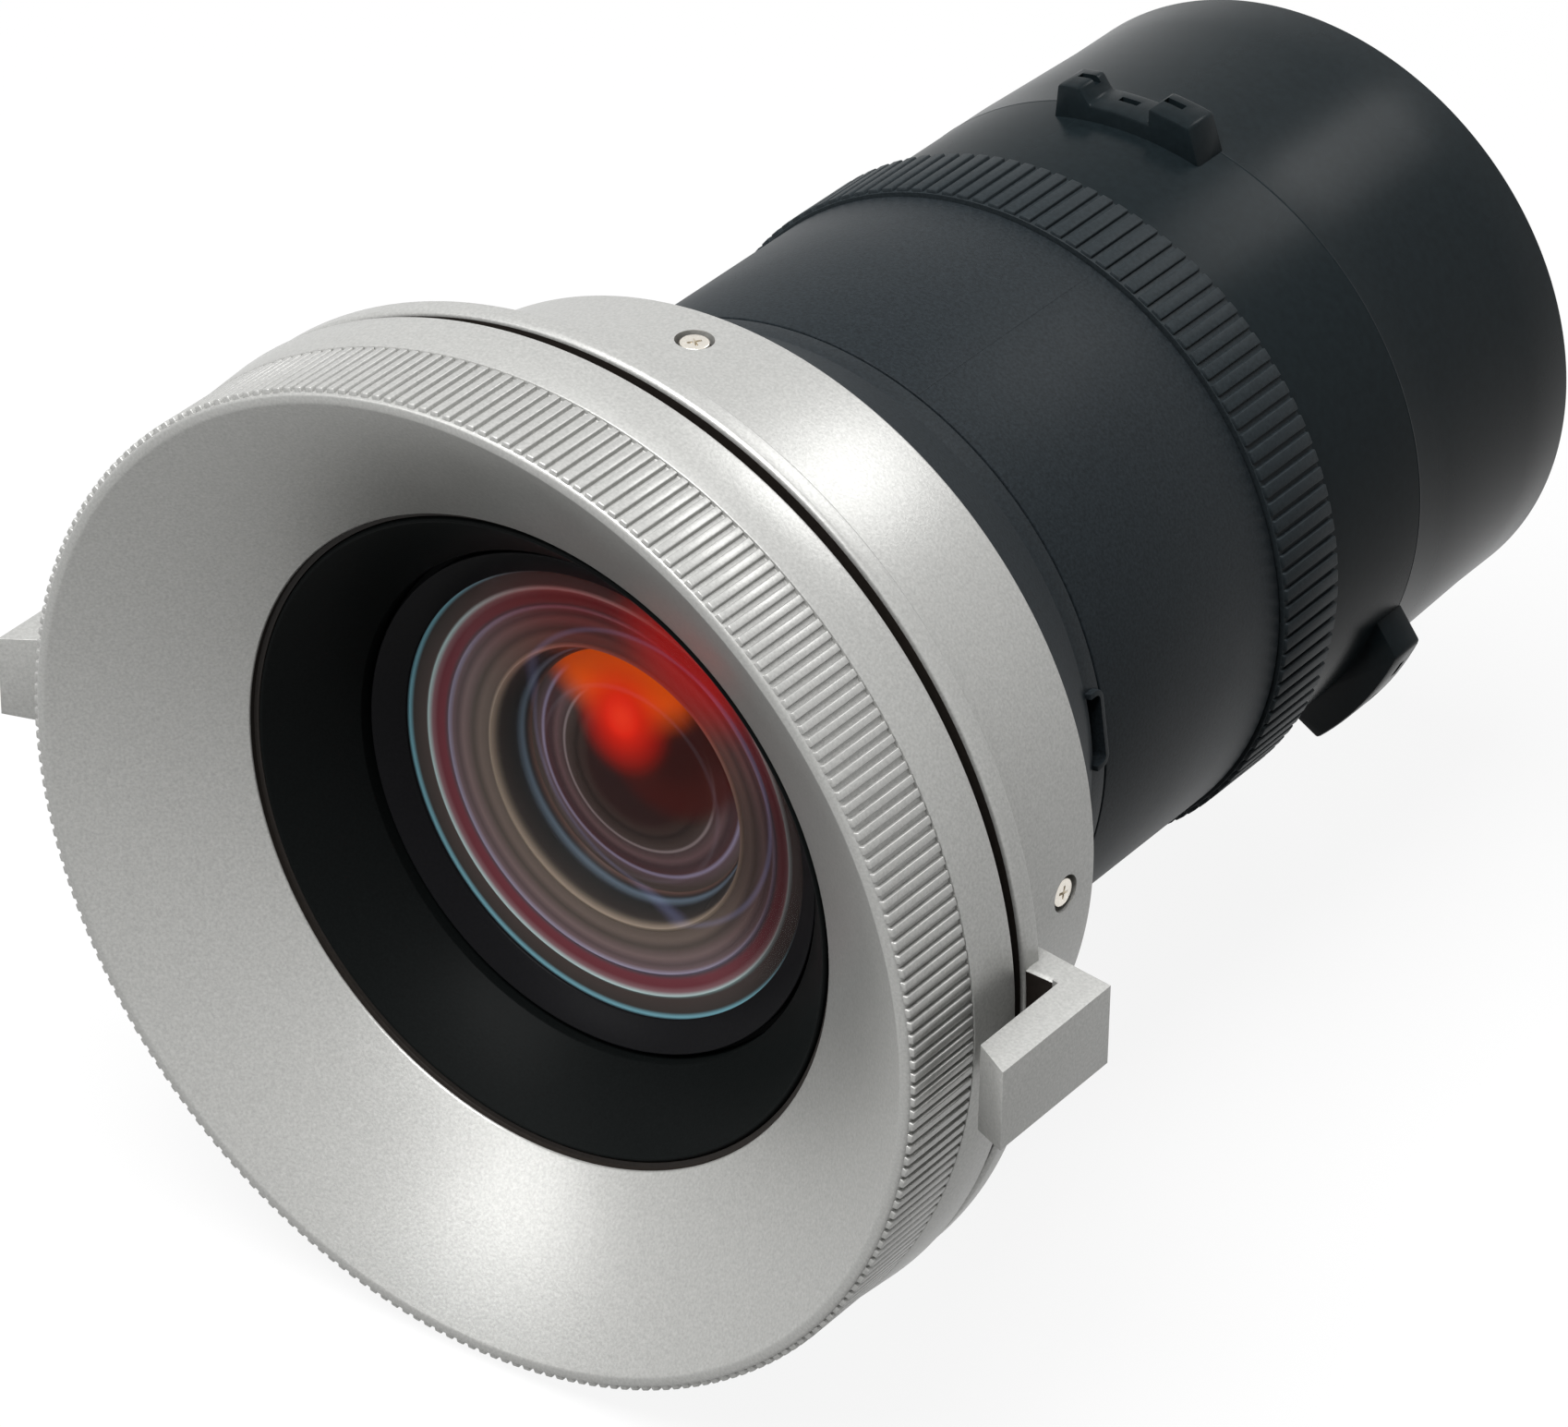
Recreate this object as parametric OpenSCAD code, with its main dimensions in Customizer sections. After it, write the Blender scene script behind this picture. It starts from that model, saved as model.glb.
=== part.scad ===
// Wide-angle zoom lens for a large-room projector.
// The optical axis is Y, the front faces -Y and +Z is up.
// The origin lies on the axis in the plane of the bayonet lugs' front faces.
// Distances along the lens are counted from the front rim towards the rear.

/* [Focus ring] */
// Radius over the ribs of the focus ring
focus_r = 65.2; // [64.4:0.2:66]
// Length of the outer wall of the focus ring
focus_len = 19.5; // [18.5:0.5:22]
// Width of the flat lip round the funnel
lip_w = 1.9; // [1.2:0.1:3]
// Depth of the funnel from the rim to its mouth
funnel_depth = 14.2; // [12:0.2:15]
// Radius of the funnel's mouth
mouth_r = 43.1; // [42.9:0.1:44]
// Length of the straight land at the mouth
mouth_land = 0.9; // [0.6:0.1:1.2]
// Wall of the focus ring
focus_wall = 2.4; // [1.8:0.1:3]
// Number of ribs round the focus ring
rib_count = 240; // [180:4:240]
// Height of a rib
rib_h = 0.55; // [0.3:0.05:0.7]
// Distance from the rim to the rear end of the ribs
rib_end = 11.7; // [9:0.1:14]
// Rise of the smooth band over the ribs
band_rise = 0.6; // [0:0.1:1]

/* [Zoom lever ring] */
// Gap between the focus ring and the lever ring
ring_gap = 2.1; // [1.6:0.1:3]
// Visible width of the lever ring
lever_w = 3.2; // [2.6:0.1:4]
// Step from the smooth band down to the lever ring and collar
lever_drop = 0.3; // [0.1:0.1:0.8]
// Thickness of the web between the lever ring and its hub
web_t = 1.8; // [1.4:0.1:2.4]
// Length of the lever ring's hub
lever_hub_len = 13.2; // [12:0.2:13.4]
// Clear height between the focus ring and the finger block
tab_clear = 3.8; // [2.5:0.1:5]
// Thickness of the finger block
tab_t = 6; // [4:0.2:8]
// Height of the finger block
tab_h = 10.8; // [8:0.2:13]
// Distance from the rim to the front edge of the finger block
tab_front = 3.1; // [1:0.1:6]
// How far the block's front face slants back
tab_slant = 3.3; // [1:0.1:5]
// Height of the arm's rear edge at the ring
arm_root_h = 20.2; // [16:0.2:24]
// Height of the arm's front edge at the ring
arm_front_h = 12.6; // [11:0.2:15]
// How far the arm reaches back past the ring
arm_back = 0.9; // [0.4:0.1:1.2]

/* [Collar] */
// Outer radius at the rear of the collar
collar_rear_r = 54.8; // [54:0.2:57]
// Length of the collar
collar_len = 26.3; // [25:0.1:28]
// Radial wall of the collar
collar_wall = 3.4; // [3.2:0.1:3.6]
// Distance from the collar's front to its screws
screw_dist = 13.9; // [12.6:0.1:15]
// Radius of a screw head
screw_head_r = 1.8; // [1.6:0.05:2.1]
// Height of a screw head
screw_head_h = 1.3; // [1:0.1:1.5]
// Radius of a screw shank
screw_r = 1; // [0.8:0.05:1.2]
// Length of a screw shank
screw_len = 7; // [5:0.5:8]
// Radius of the counterbore round a screw head
seat_r = 2.2; // [2.15:0.05:2.6]
// Depth of a screw head below the collar's surface
head_sink = 1; // [0.9:0.05:1.1]
// Angle of the first screw of each pair
screw_angle_a = 4.5; // [0:0.5:10]
// Angle of the second screw of each pair
screw_angle_b = 84; // [78:0.5:90]

/* [Black barrel] */
// Distance from the collar to the rear edge of the stepped ring
skirt_len = 17.6; // [16.5:0.1:20]
// Length of the straight band at the rear of the stepped ring
skirt_band = 3.5; // [3.2:0.1:6]
// Outer radius of the barrel
barrel_r = 44.1; // [43.9:0.1:44.6]
// Length of the smooth barrel
barrel_len = 37.6; // [36:0.2:44]
// Width of the line between stepped ring and barrel
line_w = 0.3; // [0.2:0.05:0.6]
// Angle of the latch window
window_angle = 8.7; // [0:0.1:20]
// Length of the latch window round the barrel
window_len = 8.2; // [6:0.2:10]
// Width of the latch window
window_w = 2.4; // [1.6:0.1:2.6]
// Height of the rim round the latch window
window_rim_h = 0.5; // [0.2:0.05:0.8]

/* [Knurled ring] */
// Outer radius of the knurled ring
knurl_r = 45; // [44.7:0.1:45.8]
// Width of the knurled ring
knurl_w = 11.6; // [10:0.2:14]
// Number of flats round the knurled ring
knurl_count = 120; // [90:1:120]
// Width of the groove between two flats
knurl_groove_w = 0.6; // [0.4:0.05:0.9]
// Depth of the groove between two flats
knurl_groove_d = 0.45; // [0.2:0.05:0.6]
// Gap in front of the knurled ring
knurl_gap = 0.5; // [0.3:0.05:0.8]

/* [Rear cover] */
// Radius of the front part of the cover
cover_r = 43.3; // [43.1:0.1:43.8]
// Radius of the rear end of the cover
cover_rear_r = 42.75; // [42.3:0.05:43]
// Length of the cover
cover_len = 58; // [56:0.5:66]
// Length of the front part of the cover
cover_front_len = 28; // [26:0.5:32]
// Length of the straight end of the cover
cover_end_len = 9.5; // [8:0.5:12]
// Wall of the cover
cover_wall = 2.2; // [1.9:0.1:2.3]
// Thickness of the end wall
end_wall = 2; // [1.5:0.1:3]
// Radius of the opening in the end wall
rear_open_r = 34.4; // [34.2:0.1:35.5]
// Distance from the cover's front edge to the lugs
lug_dist = 16.1; // [14:0.1:18]
// Depth of a lug along the axis
lug_d = 5.7; // [4.5:0.1:7]
// Radius over the raised ends of a lug
lug_r = 47.7; // [47:0.1:49]
// Radius over the low middle of a lug
lug_mid_r = 45.6; // [45:0.1:46.4]
// Half the width of a lug at its top
lug_half_w = 9.7; // [8.5:0.1:11]
// Half the width of a lug at its foot
lug_foot_half_w = 13.2; // [12:0.1:15]
// Half the width of the low middle
lug_gap_half_w = 4.7; // [3.5:0.1:6]
// Length of the pocket in a lug's top
pocket_l = 2.4; // [1.6:0.1:3]
// Width of the pocket in a lug's top
pocket_w = 1; // [0.6:0.1:1.6]
// Depth of the pocket in a lug's top
pocket_d = 1.4; // [0.8:0.1:1.8]
// Angle of each lower lug below the horizontal
low_lug_angle = 35; // [30:1:40]

/* [Front group] */
// Outer radius of the black hood
hood_r = 42.3; // [42.1:0.1:42.5]
// Distance from the rim to the hood's front edge
hood_front = 14.8; // [14.4:0.1:15.4]
// Radius at the small end of the hood's cone
hood_inner_r = 33.9; // [33.6:0.1:34.6]
// Depth of the hood's cone
hood_cone_d = 9.4; // [8.5:0.1:10]
// Wall of the hood and its cone
hood_wall = 1.8; // [1.4:0.1:2.2]
// Length of the hood's outer wall
hood_len = 12; // [11.4:0.1:12.4]
// Radius of the clear opening in front of the first glass
clear_r = 29.6; // [28.5:0.1:30]
// Radius of the first glass
front_glass_r = 31.5; // [31.2:0.1:32]
// Radius of curvature of the first glass's front
front_curve_r = 80; // [70:1:100]
// Radius of curvature of the first glass's rear
front_hollow_curve_r = 34; // [32:0.5:40]
// Radius of the hollow behind the first glass
front_hollow_r = 26; // [24:0.5:27]
// Thickness of the first glass at its centre
front_glass_t = 4; // [3:0.1:5]
// Length of the front cell
front_cell_len = 27; // [26:0.5:30]
// Radius of the second glass
second_glass_r = 27.4; // [26:0.1:28.4]
// Thickness of the second glass at its centre
second_glass_t = 3.4; // [2.8:0.1:4]
// Travel of the front group each way
focus_travel = 1.5; // [1:0.1:1.5]

/* [Zoom group] */
// Outer radius of the cam barrel
cam_r = 41.1; // [40.9:0.1:41.3]
// Wall of the cam barrel
cam_wall = 2; // [1.6:0.1:2.4]
// Turn of the lever ring each way from the middle
lever_turn = 20; // [15:1:22]
// Travel of the zoom group each way
zoom_travel = 5; // [3:0.5:5]
// Radius of a cam follower
follower_r = 1.5; // [1.2:0.1:1.8]
// Length of the zoom cell
zoom_cell_len = 26; // [24:0.5:28]
// Distance from the zoom cell's front to its followers
follower_dist = 16; // [14:0.5:18]
// Radius of the zoom glasses
zoom_glass_r = 25; // [22:0.5:27]
// Thickness of a zoom glass at its centre
zoom_glass_t = 7; // [6:0.5:8]
// Radius of the aperture in the stop plate
iris_r = 20; // [14:0.5:24]
// Radius of the driving pins
pin_r = 1.2; // [0.9:0.1:1.4]

/* [Rear groups] */
// Outer radius of the compensator cell
comp_r = 38.5; // [38.2:0.1:38.7]
// Length of the compensator cell
comp_len = 19; // [18:0.5:20]
// Travel of the compensator each way
comp_travel = 1.5; // [1:0.1:1.5]
// Turn of the knurled ring each way from the middle
knurl_turn = 45; // [30:1:50]
// Radius of the compensator's glass
comp_glass_r = 27; // [25:0.5:29]
// Radius of the rear glasses
rear_glass_r = 31; // [29:0.5:31.6]
// Outer radius of the rear cell
rear_cell_r = 34; // [33.6:0.1:34.2]
// Thickness of a rear glass at its centre
rear_glass_t = 7; // [6:0.5:8]

/* [Fits] */
// Radial running clearance of turning and sliding fits
run_gap = 0.08; // [0.06:0.01:0.1]
// Clearance between seated pieces of one body
seat_gap = 0.05; // [0.03:0.01:0.08]
// Axial clearance between a turning piece and its neighbours
end_gap = 0.3; // [0.2:0.05:0.4]

/* [Hidden] */

silver = [0.66, 0.66, 0.64];
black = [0.07, 0.075, 0.08];
dark = [0.12, 0.12, 0.125];
nickel = [0.8, 0.78, 0.74];
glass = [0.55, 0.75, 0.8, 0.45];
brass = [0.75, 0.62, 0.35];

// Overrun of every cut, and the thickness of a skin that hull() joins
cut = 1;
skin = 0.05;
fine = 160;
small = 48;

// Places along the axis
focus_rear = focus_len;
lever_front = focus_rear + ring_gap;
lever_rear = lever_front + lever_w;
collar_front = lever_rear + end_gap;
collar_rear = collar_front + collar_len;
screw_y = collar_front + screw_dist;
skirt_rear = collar_rear + skirt_len;
barrel_front = skirt_rear + line_w;
barrel_rear = barrel_front + barrel_len;
knurl_front = barrel_rear + knurl_gap;
knurl_rear = knurl_front + knurl_w;
cover_front = knurl_rear + end_gap;
cover_rear = cover_front + cover_len;
lug_front = cover_front + lug_dist;
band_r = focus_r + band_rise;
lever_r = band_r - lever_drop;
collar_front_r = lever_r;

// The focus ring's hub carries the hood's thread in its bore
lip_round = 0.4;
focus_hub_t = 2.5;
funnel_wall = 2.1;
mouth_rear = funnel_depth + mouth_land;
hood_rear = hood_front + hood_len;
focus_hub_bore = hood_r + run_gap;
focus_hub_r = focus_hub_bore + focus_hub_t;
focus_hub_rear = hood_rear;
funnel_r = focus_r - lip_w;
rib_base_r = focus_r - rib_h;
rib_top_share = 0.42;
rib_foot_share = 0.8;

// The guide ring holds the focus hub inside and the lever hub outside
guide_t = 1.9;
clip_t = 1;
clip_h = 1.6;
clip_sunk = 0.8;
guide_bore = focus_hub_r + run_gap;
guide_r = guide_bore + guide_t;
clip_rear = lever_front - end_gap;
clip_front = clip_rear - clip_t;
guide_front = clip_front - clip_t / 2;
guide_shoulder = hood_rear + focus_travel + end_gap * 3;
flange_front = lever_front + lever_hub_len + end_gap * 2;
flange_rear = screw_y + (screw_y - flange_front);
lever_bore = guide_r + run_gap;
lever_hub_t = 2.6;
lever_wall = 3;
lever_hub_r = lever_bore + lever_hub_t;
lever_hub_rear = lever_front + lever_hub_len;
pin_y = lever_hub_rear - pin_r * 2;

// Straight keys that keep the hood from turning with the focus ring
key_w = 3;
key_len = 6;
key_foot = 2;
hood_key_angles = [90, 210, 330];

// Finger tabs
tab_in = band_r + tab_clear;
tab_out = tab_in + tab_t;
arm_rear = lever_rear + arm_back;
arm_front = lever_front + end_gap;
arm_root = lever_r - lever_wall / 2;
tab_round = 0.8;

// Fixed bores and the spigot that the knurled ring turns on
key_depth = 1.2;
knurl_wall = 2.1;
spigot_fit = 4.8;
shoulder_back = 6.5;
plate_t = 1.2;
fixed_bore = cam_r + run_gap;
comp_bore = comp_r + run_gap;
spigot_r = knurl_r - knurl_wall;
cover_seat_r = cover_r - cover_wall;
cover_inner_r = cover_seat_r + seat_gap;
cover_rear_inner_r = cover_rear_r - cover_wall;
spigot_rear = cover_front + spigot_fit;
shoulder_y = barrel_rear - shoulder_back;
plate_front = shoulder_y - plate_t;

// Stepped ring behind the collar
skirt_wall = 2.2;
skirt_straight = 0.5;
skirt_r = collar_rear_r - collar_wall - seat_gap * 2;
skirt_front = flange_rear + seat_gap;
skirt_cone_y = collar_rear + skirt_straight;
skirt_step_y = skirt_rear - skirt_band;
window_y = skirt_rear - skirt_band / 2 - window_rim_h / 2;

// Zoom cell in the cam barrel
cell_lip = 1.5;
cell_land = 4.8;
retainer_len = 3;
zoom_curve_r = 120;
follower_hold = 3.2;
follower_angles = [30, 150, 270];
cam_front = guide_shoulder + end_gap;
cam_rear = plate_front - end_gap * 2;
cam_bore = cam_r - cam_wall;
zoom_r = cam_bore - run_gap;
zoom_rear = cam_rear - zoom_travel - end_gap * 5;
zoom_front = zoom_rear - zoom_cell_len;
zoom_edge = sag(zoom_curve_r, zoom_glass_r);
zoom_seat = sag(zoom_curve_r, zoom_glass_r - cell_lip) - seat_gap;
zoom_glass_a = zoom_front + retainer_len;
zoom_glass_b = zoom_rear - retainer_len - zoom_glass_t;
follower_y = zoom_front + follower_dist;
follower_out = fixed_bore + key_depth - seat_gap * 4;
slot_r = follower_r + run_gap * 2;

// Helical cam slots, each made of short straight steps
slot_steps = 6;
slot_step = 2 * lever_turn / slot_steps;
slot_step_len = (cam_r - cam_wall / 2) * slot_step * PI / 180;
slot_rise = zoom_travel / lever_turn;
slot_tilt = atan(slot_rise * slot_step / slot_step_len);

// Compensator cell in the rear of the barrel
comp_glass_t = 7;
comp_curve_r = 140;
comp_front = shoulder_y + comp_travel + end_gap * 2;
comp_rear = comp_front + comp_len;
comp_edge = sag(comp_curve_r, comp_glass_r);
comp_seat = sag(comp_curve_r, comp_glass_r - cell_lip) - seat_gap;
comp_glass_y = comp_front + comp_len / 2 - comp_glass_t / 2;
knurl_pin_y = knurl_front + knurl_w / 2;

// Front glass in the hood, its vertex behind the hood's small opening
ring_gap_y = 0.8;
ring_clear = 0.7;
ring_depth = 2.7;
ring_rim_t = 2;
hood_tube_len = 5.4;
second_curve_r = 90;
second_hollow_curve_r = 80;
hood_cone_rear = hood_front + hood_cone_d;
inner_ring_y = hood_cone_rear + ring_gap_y;
inner_ring_r = hood_inner_r - ring_clear;
front_glass_y = inner_ring_y + ring_depth + seat_gap - sag(front_curve_r, clear_r);
front_cell_r = hood_inner_r - seat_gap;
front_cell_front = inner_ring_y + ring_rim_t;
front_cell_rear = front_cell_front + front_cell_len;
front_hollow_y = front_glass_y + front_glass_t + sag(front_hollow_curve_r, front_hollow_r);
second_seat_y = front_hollow_y + cell_lip;
second_glass_y = second_seat_y + sag(second_curve_r, second_glass_r);
second_hollow_r = second_glass_r - cell_lip;
second_edge_y = second_glass_y + second_glass_t + sag(second_hollow_curve_r, second_hollow_r);

// Rear cell inside the cover
flange_t = 2.4;
rear_curve_r = 180;
rear_cell_ahead = 2;
rear_cell_clear = 4;
rear_glass_depth = 4;
rear_edge = sag(rear_curve_r, rear_glass_r);
rear_seat = sag(rear_curve_r, rear_glass_r - cell_lip) - seat_gap;
rear_cell_front = lug_front - rear_cell_ahead;
rear_cell_rear = cover_rear - end_wall - rear_cell_clear;
relay_y = rear_cell_front + rear_glass_depth;
rear_glass_y = rear_cell_rear - rear_glass_depth - rear_glass_t;

// Height of a spherical cap of radius of curvature R over a circle of radius r
function sag(R, r) = R - sqrt(R * R - r * r);
// Outer radius of the collar at a distance from the rim
function cone_r(y) =
    collar_front_r - (collar_front_r - collar_rear_r) * (y - collar_front) / collar_len;
// Bore of the collar at a distance from the rim
function cone_in(y) = cone_r(y) - collar_wall;
// Half the angle that an arc of a given length takes at a radius
function half_angle(arc, r) = arc / r * 90 / PI;

// Turns a distance behind the rim into the part's frame
module along(y) translate([0, y - lug_front, 0]) children();

// Turns what lies at +X to an angle about the axis, counted from +X to +Z
module at_angle(a) rotate([0, -a, 0]) children();

// Solid of revolution from points [radius, distance behind the rim]
module turned(points) along(0) rotate([-90, 0, 0]) rotate_extrude($fn = fine) polygon(points);

module tube(r_in, r_out, y_a, y_b)
    turned([[r_in, y_a], [r_out, y_a], [r_out, y_b], [r_in, y_b]]);

module disc(r, y_a, y_b) along(y_a) rotate([-90, 0, 0]) cylinder(h = y_b - y_a, r = r, $fn = fine);

// Round rod that points outwards from the axis
module radial_rod(r, r_from, r_to, y, a)
    at_angle(a) along(y) translate([r_from, 0, 0]) rotate([0, 90, 0])
        cylinder(h = r_to - r_from, r = r, $fn = small);

// Ball centred on the axis
module ball(r, y) along(y) sphere(r = r, $fn = fine * 4);

// Prism along the axis from an outline seen from the front, given as [x, z]
module prism(y_a, y_b) along(y_b) rotate([90, 0, 0]) linear_extrude(height = y_b - y_a) children();

// Lens with a convex front and a hollow rear that has a flat rim
module meniscus(r, y, t, front_curve, rear_curve, hollow_r) {
    edge = y + t + sag(rear_curve, hollow_r);
    difference() {
        intersection() {
            disc(r, y, edge);
            ball(front_curve, y + front_curve);
        }
        ball(rear_curve, y + t + rear_curve);
    }
}

// Lens that is hollow on both faces
module biconcave(r, y, t, front_curve, rear_curve, hollow_r) {
    difference() {
        disc(r, y - sag(front_curve, r), y + t + sag(rear_curve, hollow_r));
        ball(front_curve, y - front_curve);
        ball(rear_curve, y + t + rear_curve);
    }
}

// Lens that bulges on both faces
module biconvex(r, y, t, curve) {
    intersection() {
        disc(r, y, y + t);
        ball(curve, y + curve);
        ball(curve, y + t - curve);
    }
}

// Ring of ribs or teeth, seen from the front
function rib_points(count, r_low, r_high, top_share, foot_share) = [
    for (i = [0:count - 1])
        for (k = [[-foot_share, r_low], [-top_share, r_high], [top_share, r_high], [foot_share, r_low]])
            let (a = (i + k[0] / 2) * 360 / count) [k[1] * cos(a), k[1] * sin(a)]
];

module focus_ring() {
    depth_per_r = funnel_depth / (funnel_r - mouth_r);
    wall_y = funnel_wall * sqrt(1 + depth_per_r * depth_per_r);
    back_r = rib_base_r - focus_wall;
    color(silver) {
        turned([
            [mouth_r, funnel_depth],
            [funnel_r, 0],
            [rib_base_r - lip_round, 0],
            [rib_base_r, lip_round],
            [rib_base_r, rib_end],
            [band_r - rib_h / 2, rib_end + rib_h],
            [band_r, focus_rear - lip_round],
            [band_r - lip_round, focus_rear],
            [back_r, focus_rear],
            [back_r, (funnel_r - back_r) * depth_per_r + wall_y],
            [focus_hub_r, (funnel_r - focus_hub_r) * depth_per_r + wall_y],
            [focus_hub_r, focus_hub_rear],
            [focus_hub_bore, focus_hub_rear],
            [focus_hub_bore, mouth_rear],
            [mouth_r, mouth_rear]
        ]);
        prism(lip_round, rib_end) difference() {
            polygon(rib_points(rib_count, rib_base_r, focus_r, rib_top_share, rib_foot_share));
            circle(r = rib_base_r - rib_h, $fn = fine);
        }
    }
}

// Outline of one finger tab seen from above, from the ring to the block
module tab_plan() {
    polygon([
        [arm_root, arm_front],
        [tab_in, arm_front],
        [tab_in, tab_front + tab_slant],
        [tab_in + tab_round, tab_front + tab_slant - tab_round],
        [tab_out - tab_round, tab_front],
        [tab_out, tab_front + tab_round],
        [tab_out, arm_rear - tab_round * 2],
        [tab_out - tab_round * 2, arm_rear - tab_round],
        [arm_root, arm_rear]
    ]);
}

// Cross-section of the flared arm seen from the front
module arm_section(root_h, tip_h) {
    polygon([
        [arm_root, -root_h / 2],
        [tab_out - tab_round, -tip_h / 2],
        [tab_out - tab_round, tip_h / 2],
        [arm_root, root_h / 2]
    ]);
}

module finger_tab() {
    along(0) linear_extrude(height = tab_h, center = true) tab_plan();
    hull() {
        prism(arm_front, arm_front + skin) arm_section(arm_front_h, tab_h);
        prism(arm_rear - tab_round * 2, arm_rear - tab_round) arm_section(arm_root_h, tab_h);
    }
}

module lever_ring() {
    color(silver) difference() {
        union() {
            turned([
                [lever_bore, lever_front],
                [lever_r - lip_round, lever_front],
                [lever_r, lever_front + lip_round],
                [lever_r, lever_rear],
                [lever_r - lever_wall, lever_rear],
                [lever_r - lever_wall, lever_front + web_t],
                [lever_hub_r, lever_front + web_t],
                [lever_hub_r, lever_hub_rear],
                [lever_bore, lever_hub_rear]
            ]);
            finger_tab();
            mirror([1, 0, 0]) finger_tab();
        }
        tube(lever_hub_r + lever_wall, collar_front_r + end_gap, lever_rear, arm_rear + cut);
        radial_rod(pin_r, lever_bore - cut, lever_hub_r + cut, pin_y, 90);
    }
}

// Spring ring in a groove of the guide ring, in front of the lever ring
module lever_clip() {
    color(nickel) difference() {
        tube(guide_r - clip_sunk + seat_gap, guide_r + clip_h, clip_front, clip_rear);
        at_angle(270) along(clip_front - cut) translate([guide_r / 2, 0, -key_w / 2])
            cube([guide_r, clip_t + cut * 2, key_w]);
    }
}

// Block along the axis at each key's angle, its middle on the radius
module key_blocks(r_from, r_to, y_a, y_b, w) {
    for (a = hood_key_angles) at_angle(a) along(y_a) translate([r_from, 0, -w / 2])
        cube([r_to - r_from, y_b - y_a, w]);
}

module hood_keys() {
    color(brass) difference() {
        key_blocks(fixed_bore - cut, hood_r - seat_gap, guide_shoulder - key_len, guide_shoulder + key_foot, key_w);
        tube(0, fixed_bore, guide_shoulder - key_len - cut, guide_shoulder + key_foot + cut);
    }
}

// Screw that joins the lever ring's hub to the cam barrel
module lever_pin() {
    color(nickel) radial_rod(pin_r - seat_gap / 2, cam_bore + end_gap, lever_hub_r, pin_y, 90);
}

// One helical slot, its middle at the follower's place
module cam_slot(a) {
    half = slot_step_len / 2 / cos(slot_tilt) + skin;
    for (i = [0:slot_steps - 1])
        let (turn = -lever_turn + (i + 1 / 2) * slot_step)
            at_angle(a + turn) along(follower_y - turn * slot_rise) rotate([slot_tilt, 0, 0])
                translate([cam_bore - cut, -slot_r, -half]) cube([cam_wall + cut * 2, slot_r * 2, half * 2]);
    for (turn = [-lever_turn, lever_turn])
        radial_rod(slot_r, cam_bore - cut, cam_r + cut, follower_y - turn * slot_rise, a + turn);
}

module cam_barrel() {
    color(brass) difference() {
        tube(cam_bore, cam_r, cam_front, cam_rear);
        for (a = follower_angles) cam_slot(a);
        radial_rod(pin_r, cam_bore - cut, cam_r + cut, pin_y, 90);
    }
}

// Places of the four collar screws
module at_screws() {
    for (a = [screw_angle_a, screw_angle_b]) for (side = [0, 180]) at_angle(a + side) children();
}

screw_top_r = cone_r(screw_y) - head_sink;
screw_floor_r = screw_top_r - screw_head_h;
screw_end_r = screw_floor_r - screw_len;

module collar() {
    color(silver) difference() {
        turned([
            [cone_in(collar_front), collar_front],
            [collar_front_r - lip_round, collar_front],
            [collar_front_r, collar_front + lip_round],
            [collar_rear_r, collar_rear - lip_round],
            [collar_rear_r - lip_round, collar_rear],
            [cone_in(collar_rear), collar_rear]
        ]);
        at_screws() {
            radial_rod(seat_r, screw_floor_r, collar_front_r, screw_y, 0);
            radial_rod(screw_r + seat_gap, screw_floor_r - collar_wall, collar_front_r, screw_y, 0);
        }
    }
}

module collar_screws() {
    color(nickel) at_screws() {
        radial_rod(screw_head_r, screw_floor_r, screw_top_r, screw_y, 0);
        radial_rod(screw_r, screw_end_r, screw_floor_r + skin, screw_y, 0);
    }
}

module guide_ring() {
    slot_half = lever_turn + half_angle(pin_r * 2 + end_gap * 2, guide_bore);
    color(dark) difference() {
        turned([
            [guide_bore, guide_front],
            [guide_r, guide_front],
            [guide_r, flange_front],
            [cone_in(flange_front) - seat_gap, flange_front],
            [cone_in(flange_rear) - seat_gap, flange_rear],
            [fixed_bore, flange_rear],
            [fixed_bore, guide_shoulder],
            [guide_bore, guide_shoulder]
        ]);
        at_screws() radial_rod(screw_r + seat_gap, screw_end_r - cut, collar_front_r, screw_y, 0);
        tube(guide_r - clip_sunk, guide_r + cut, clip_front - seat_gap, clip_rear + seat_gap);
        key_blocks(fixed_bore - cut, hood_r, guide_shoulder - cut, guide_shoulder + key_foot + seat_gap,
            key_w + seat_gap * 2);
        intersection() {
            tube(fixed_bore - cut, guide_r + cut, pin_y - pin_r - end_gap, pin_y + pin_r + end_gap);
            along(0) at_angle(90) rotate([-90, 0, 0]) linear_extrude(height = barrel_rear)
                polygon([
                    [0, 0],
                    [guide_r * 2 * cos(slot_half), guide_r * 2 * sin(slot_half)],
                    [guide_r * 2, 0],
                    [guide_r * 2 * cos(slot_half), -guide_r * 2 * sin(slot_half)]
                ]);
        }
    }
}

// Rounded outline of the latch window, seen from outside
module window_outline(extra) {
    corner = window_w / 2 - skin;
    for (side = [-1, 1])
        translate([0, side * (window_len / 2 - corner)]) circle(r = corner + extra, $fn = small);
    square([corner * 2 + extra * 2, window_len - corner * 2], center = true);
}

// Radial block with the window's outline
module window_block(r_from, r_to, extra)
    at_angle(window_angle) along(window_y) translate([r_from, 0, 0]) rotate([0, 90, 0]) rotate([0, 0, 90])
        linear_extrude(height = r_to - r_from) window_outline(extra);

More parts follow.
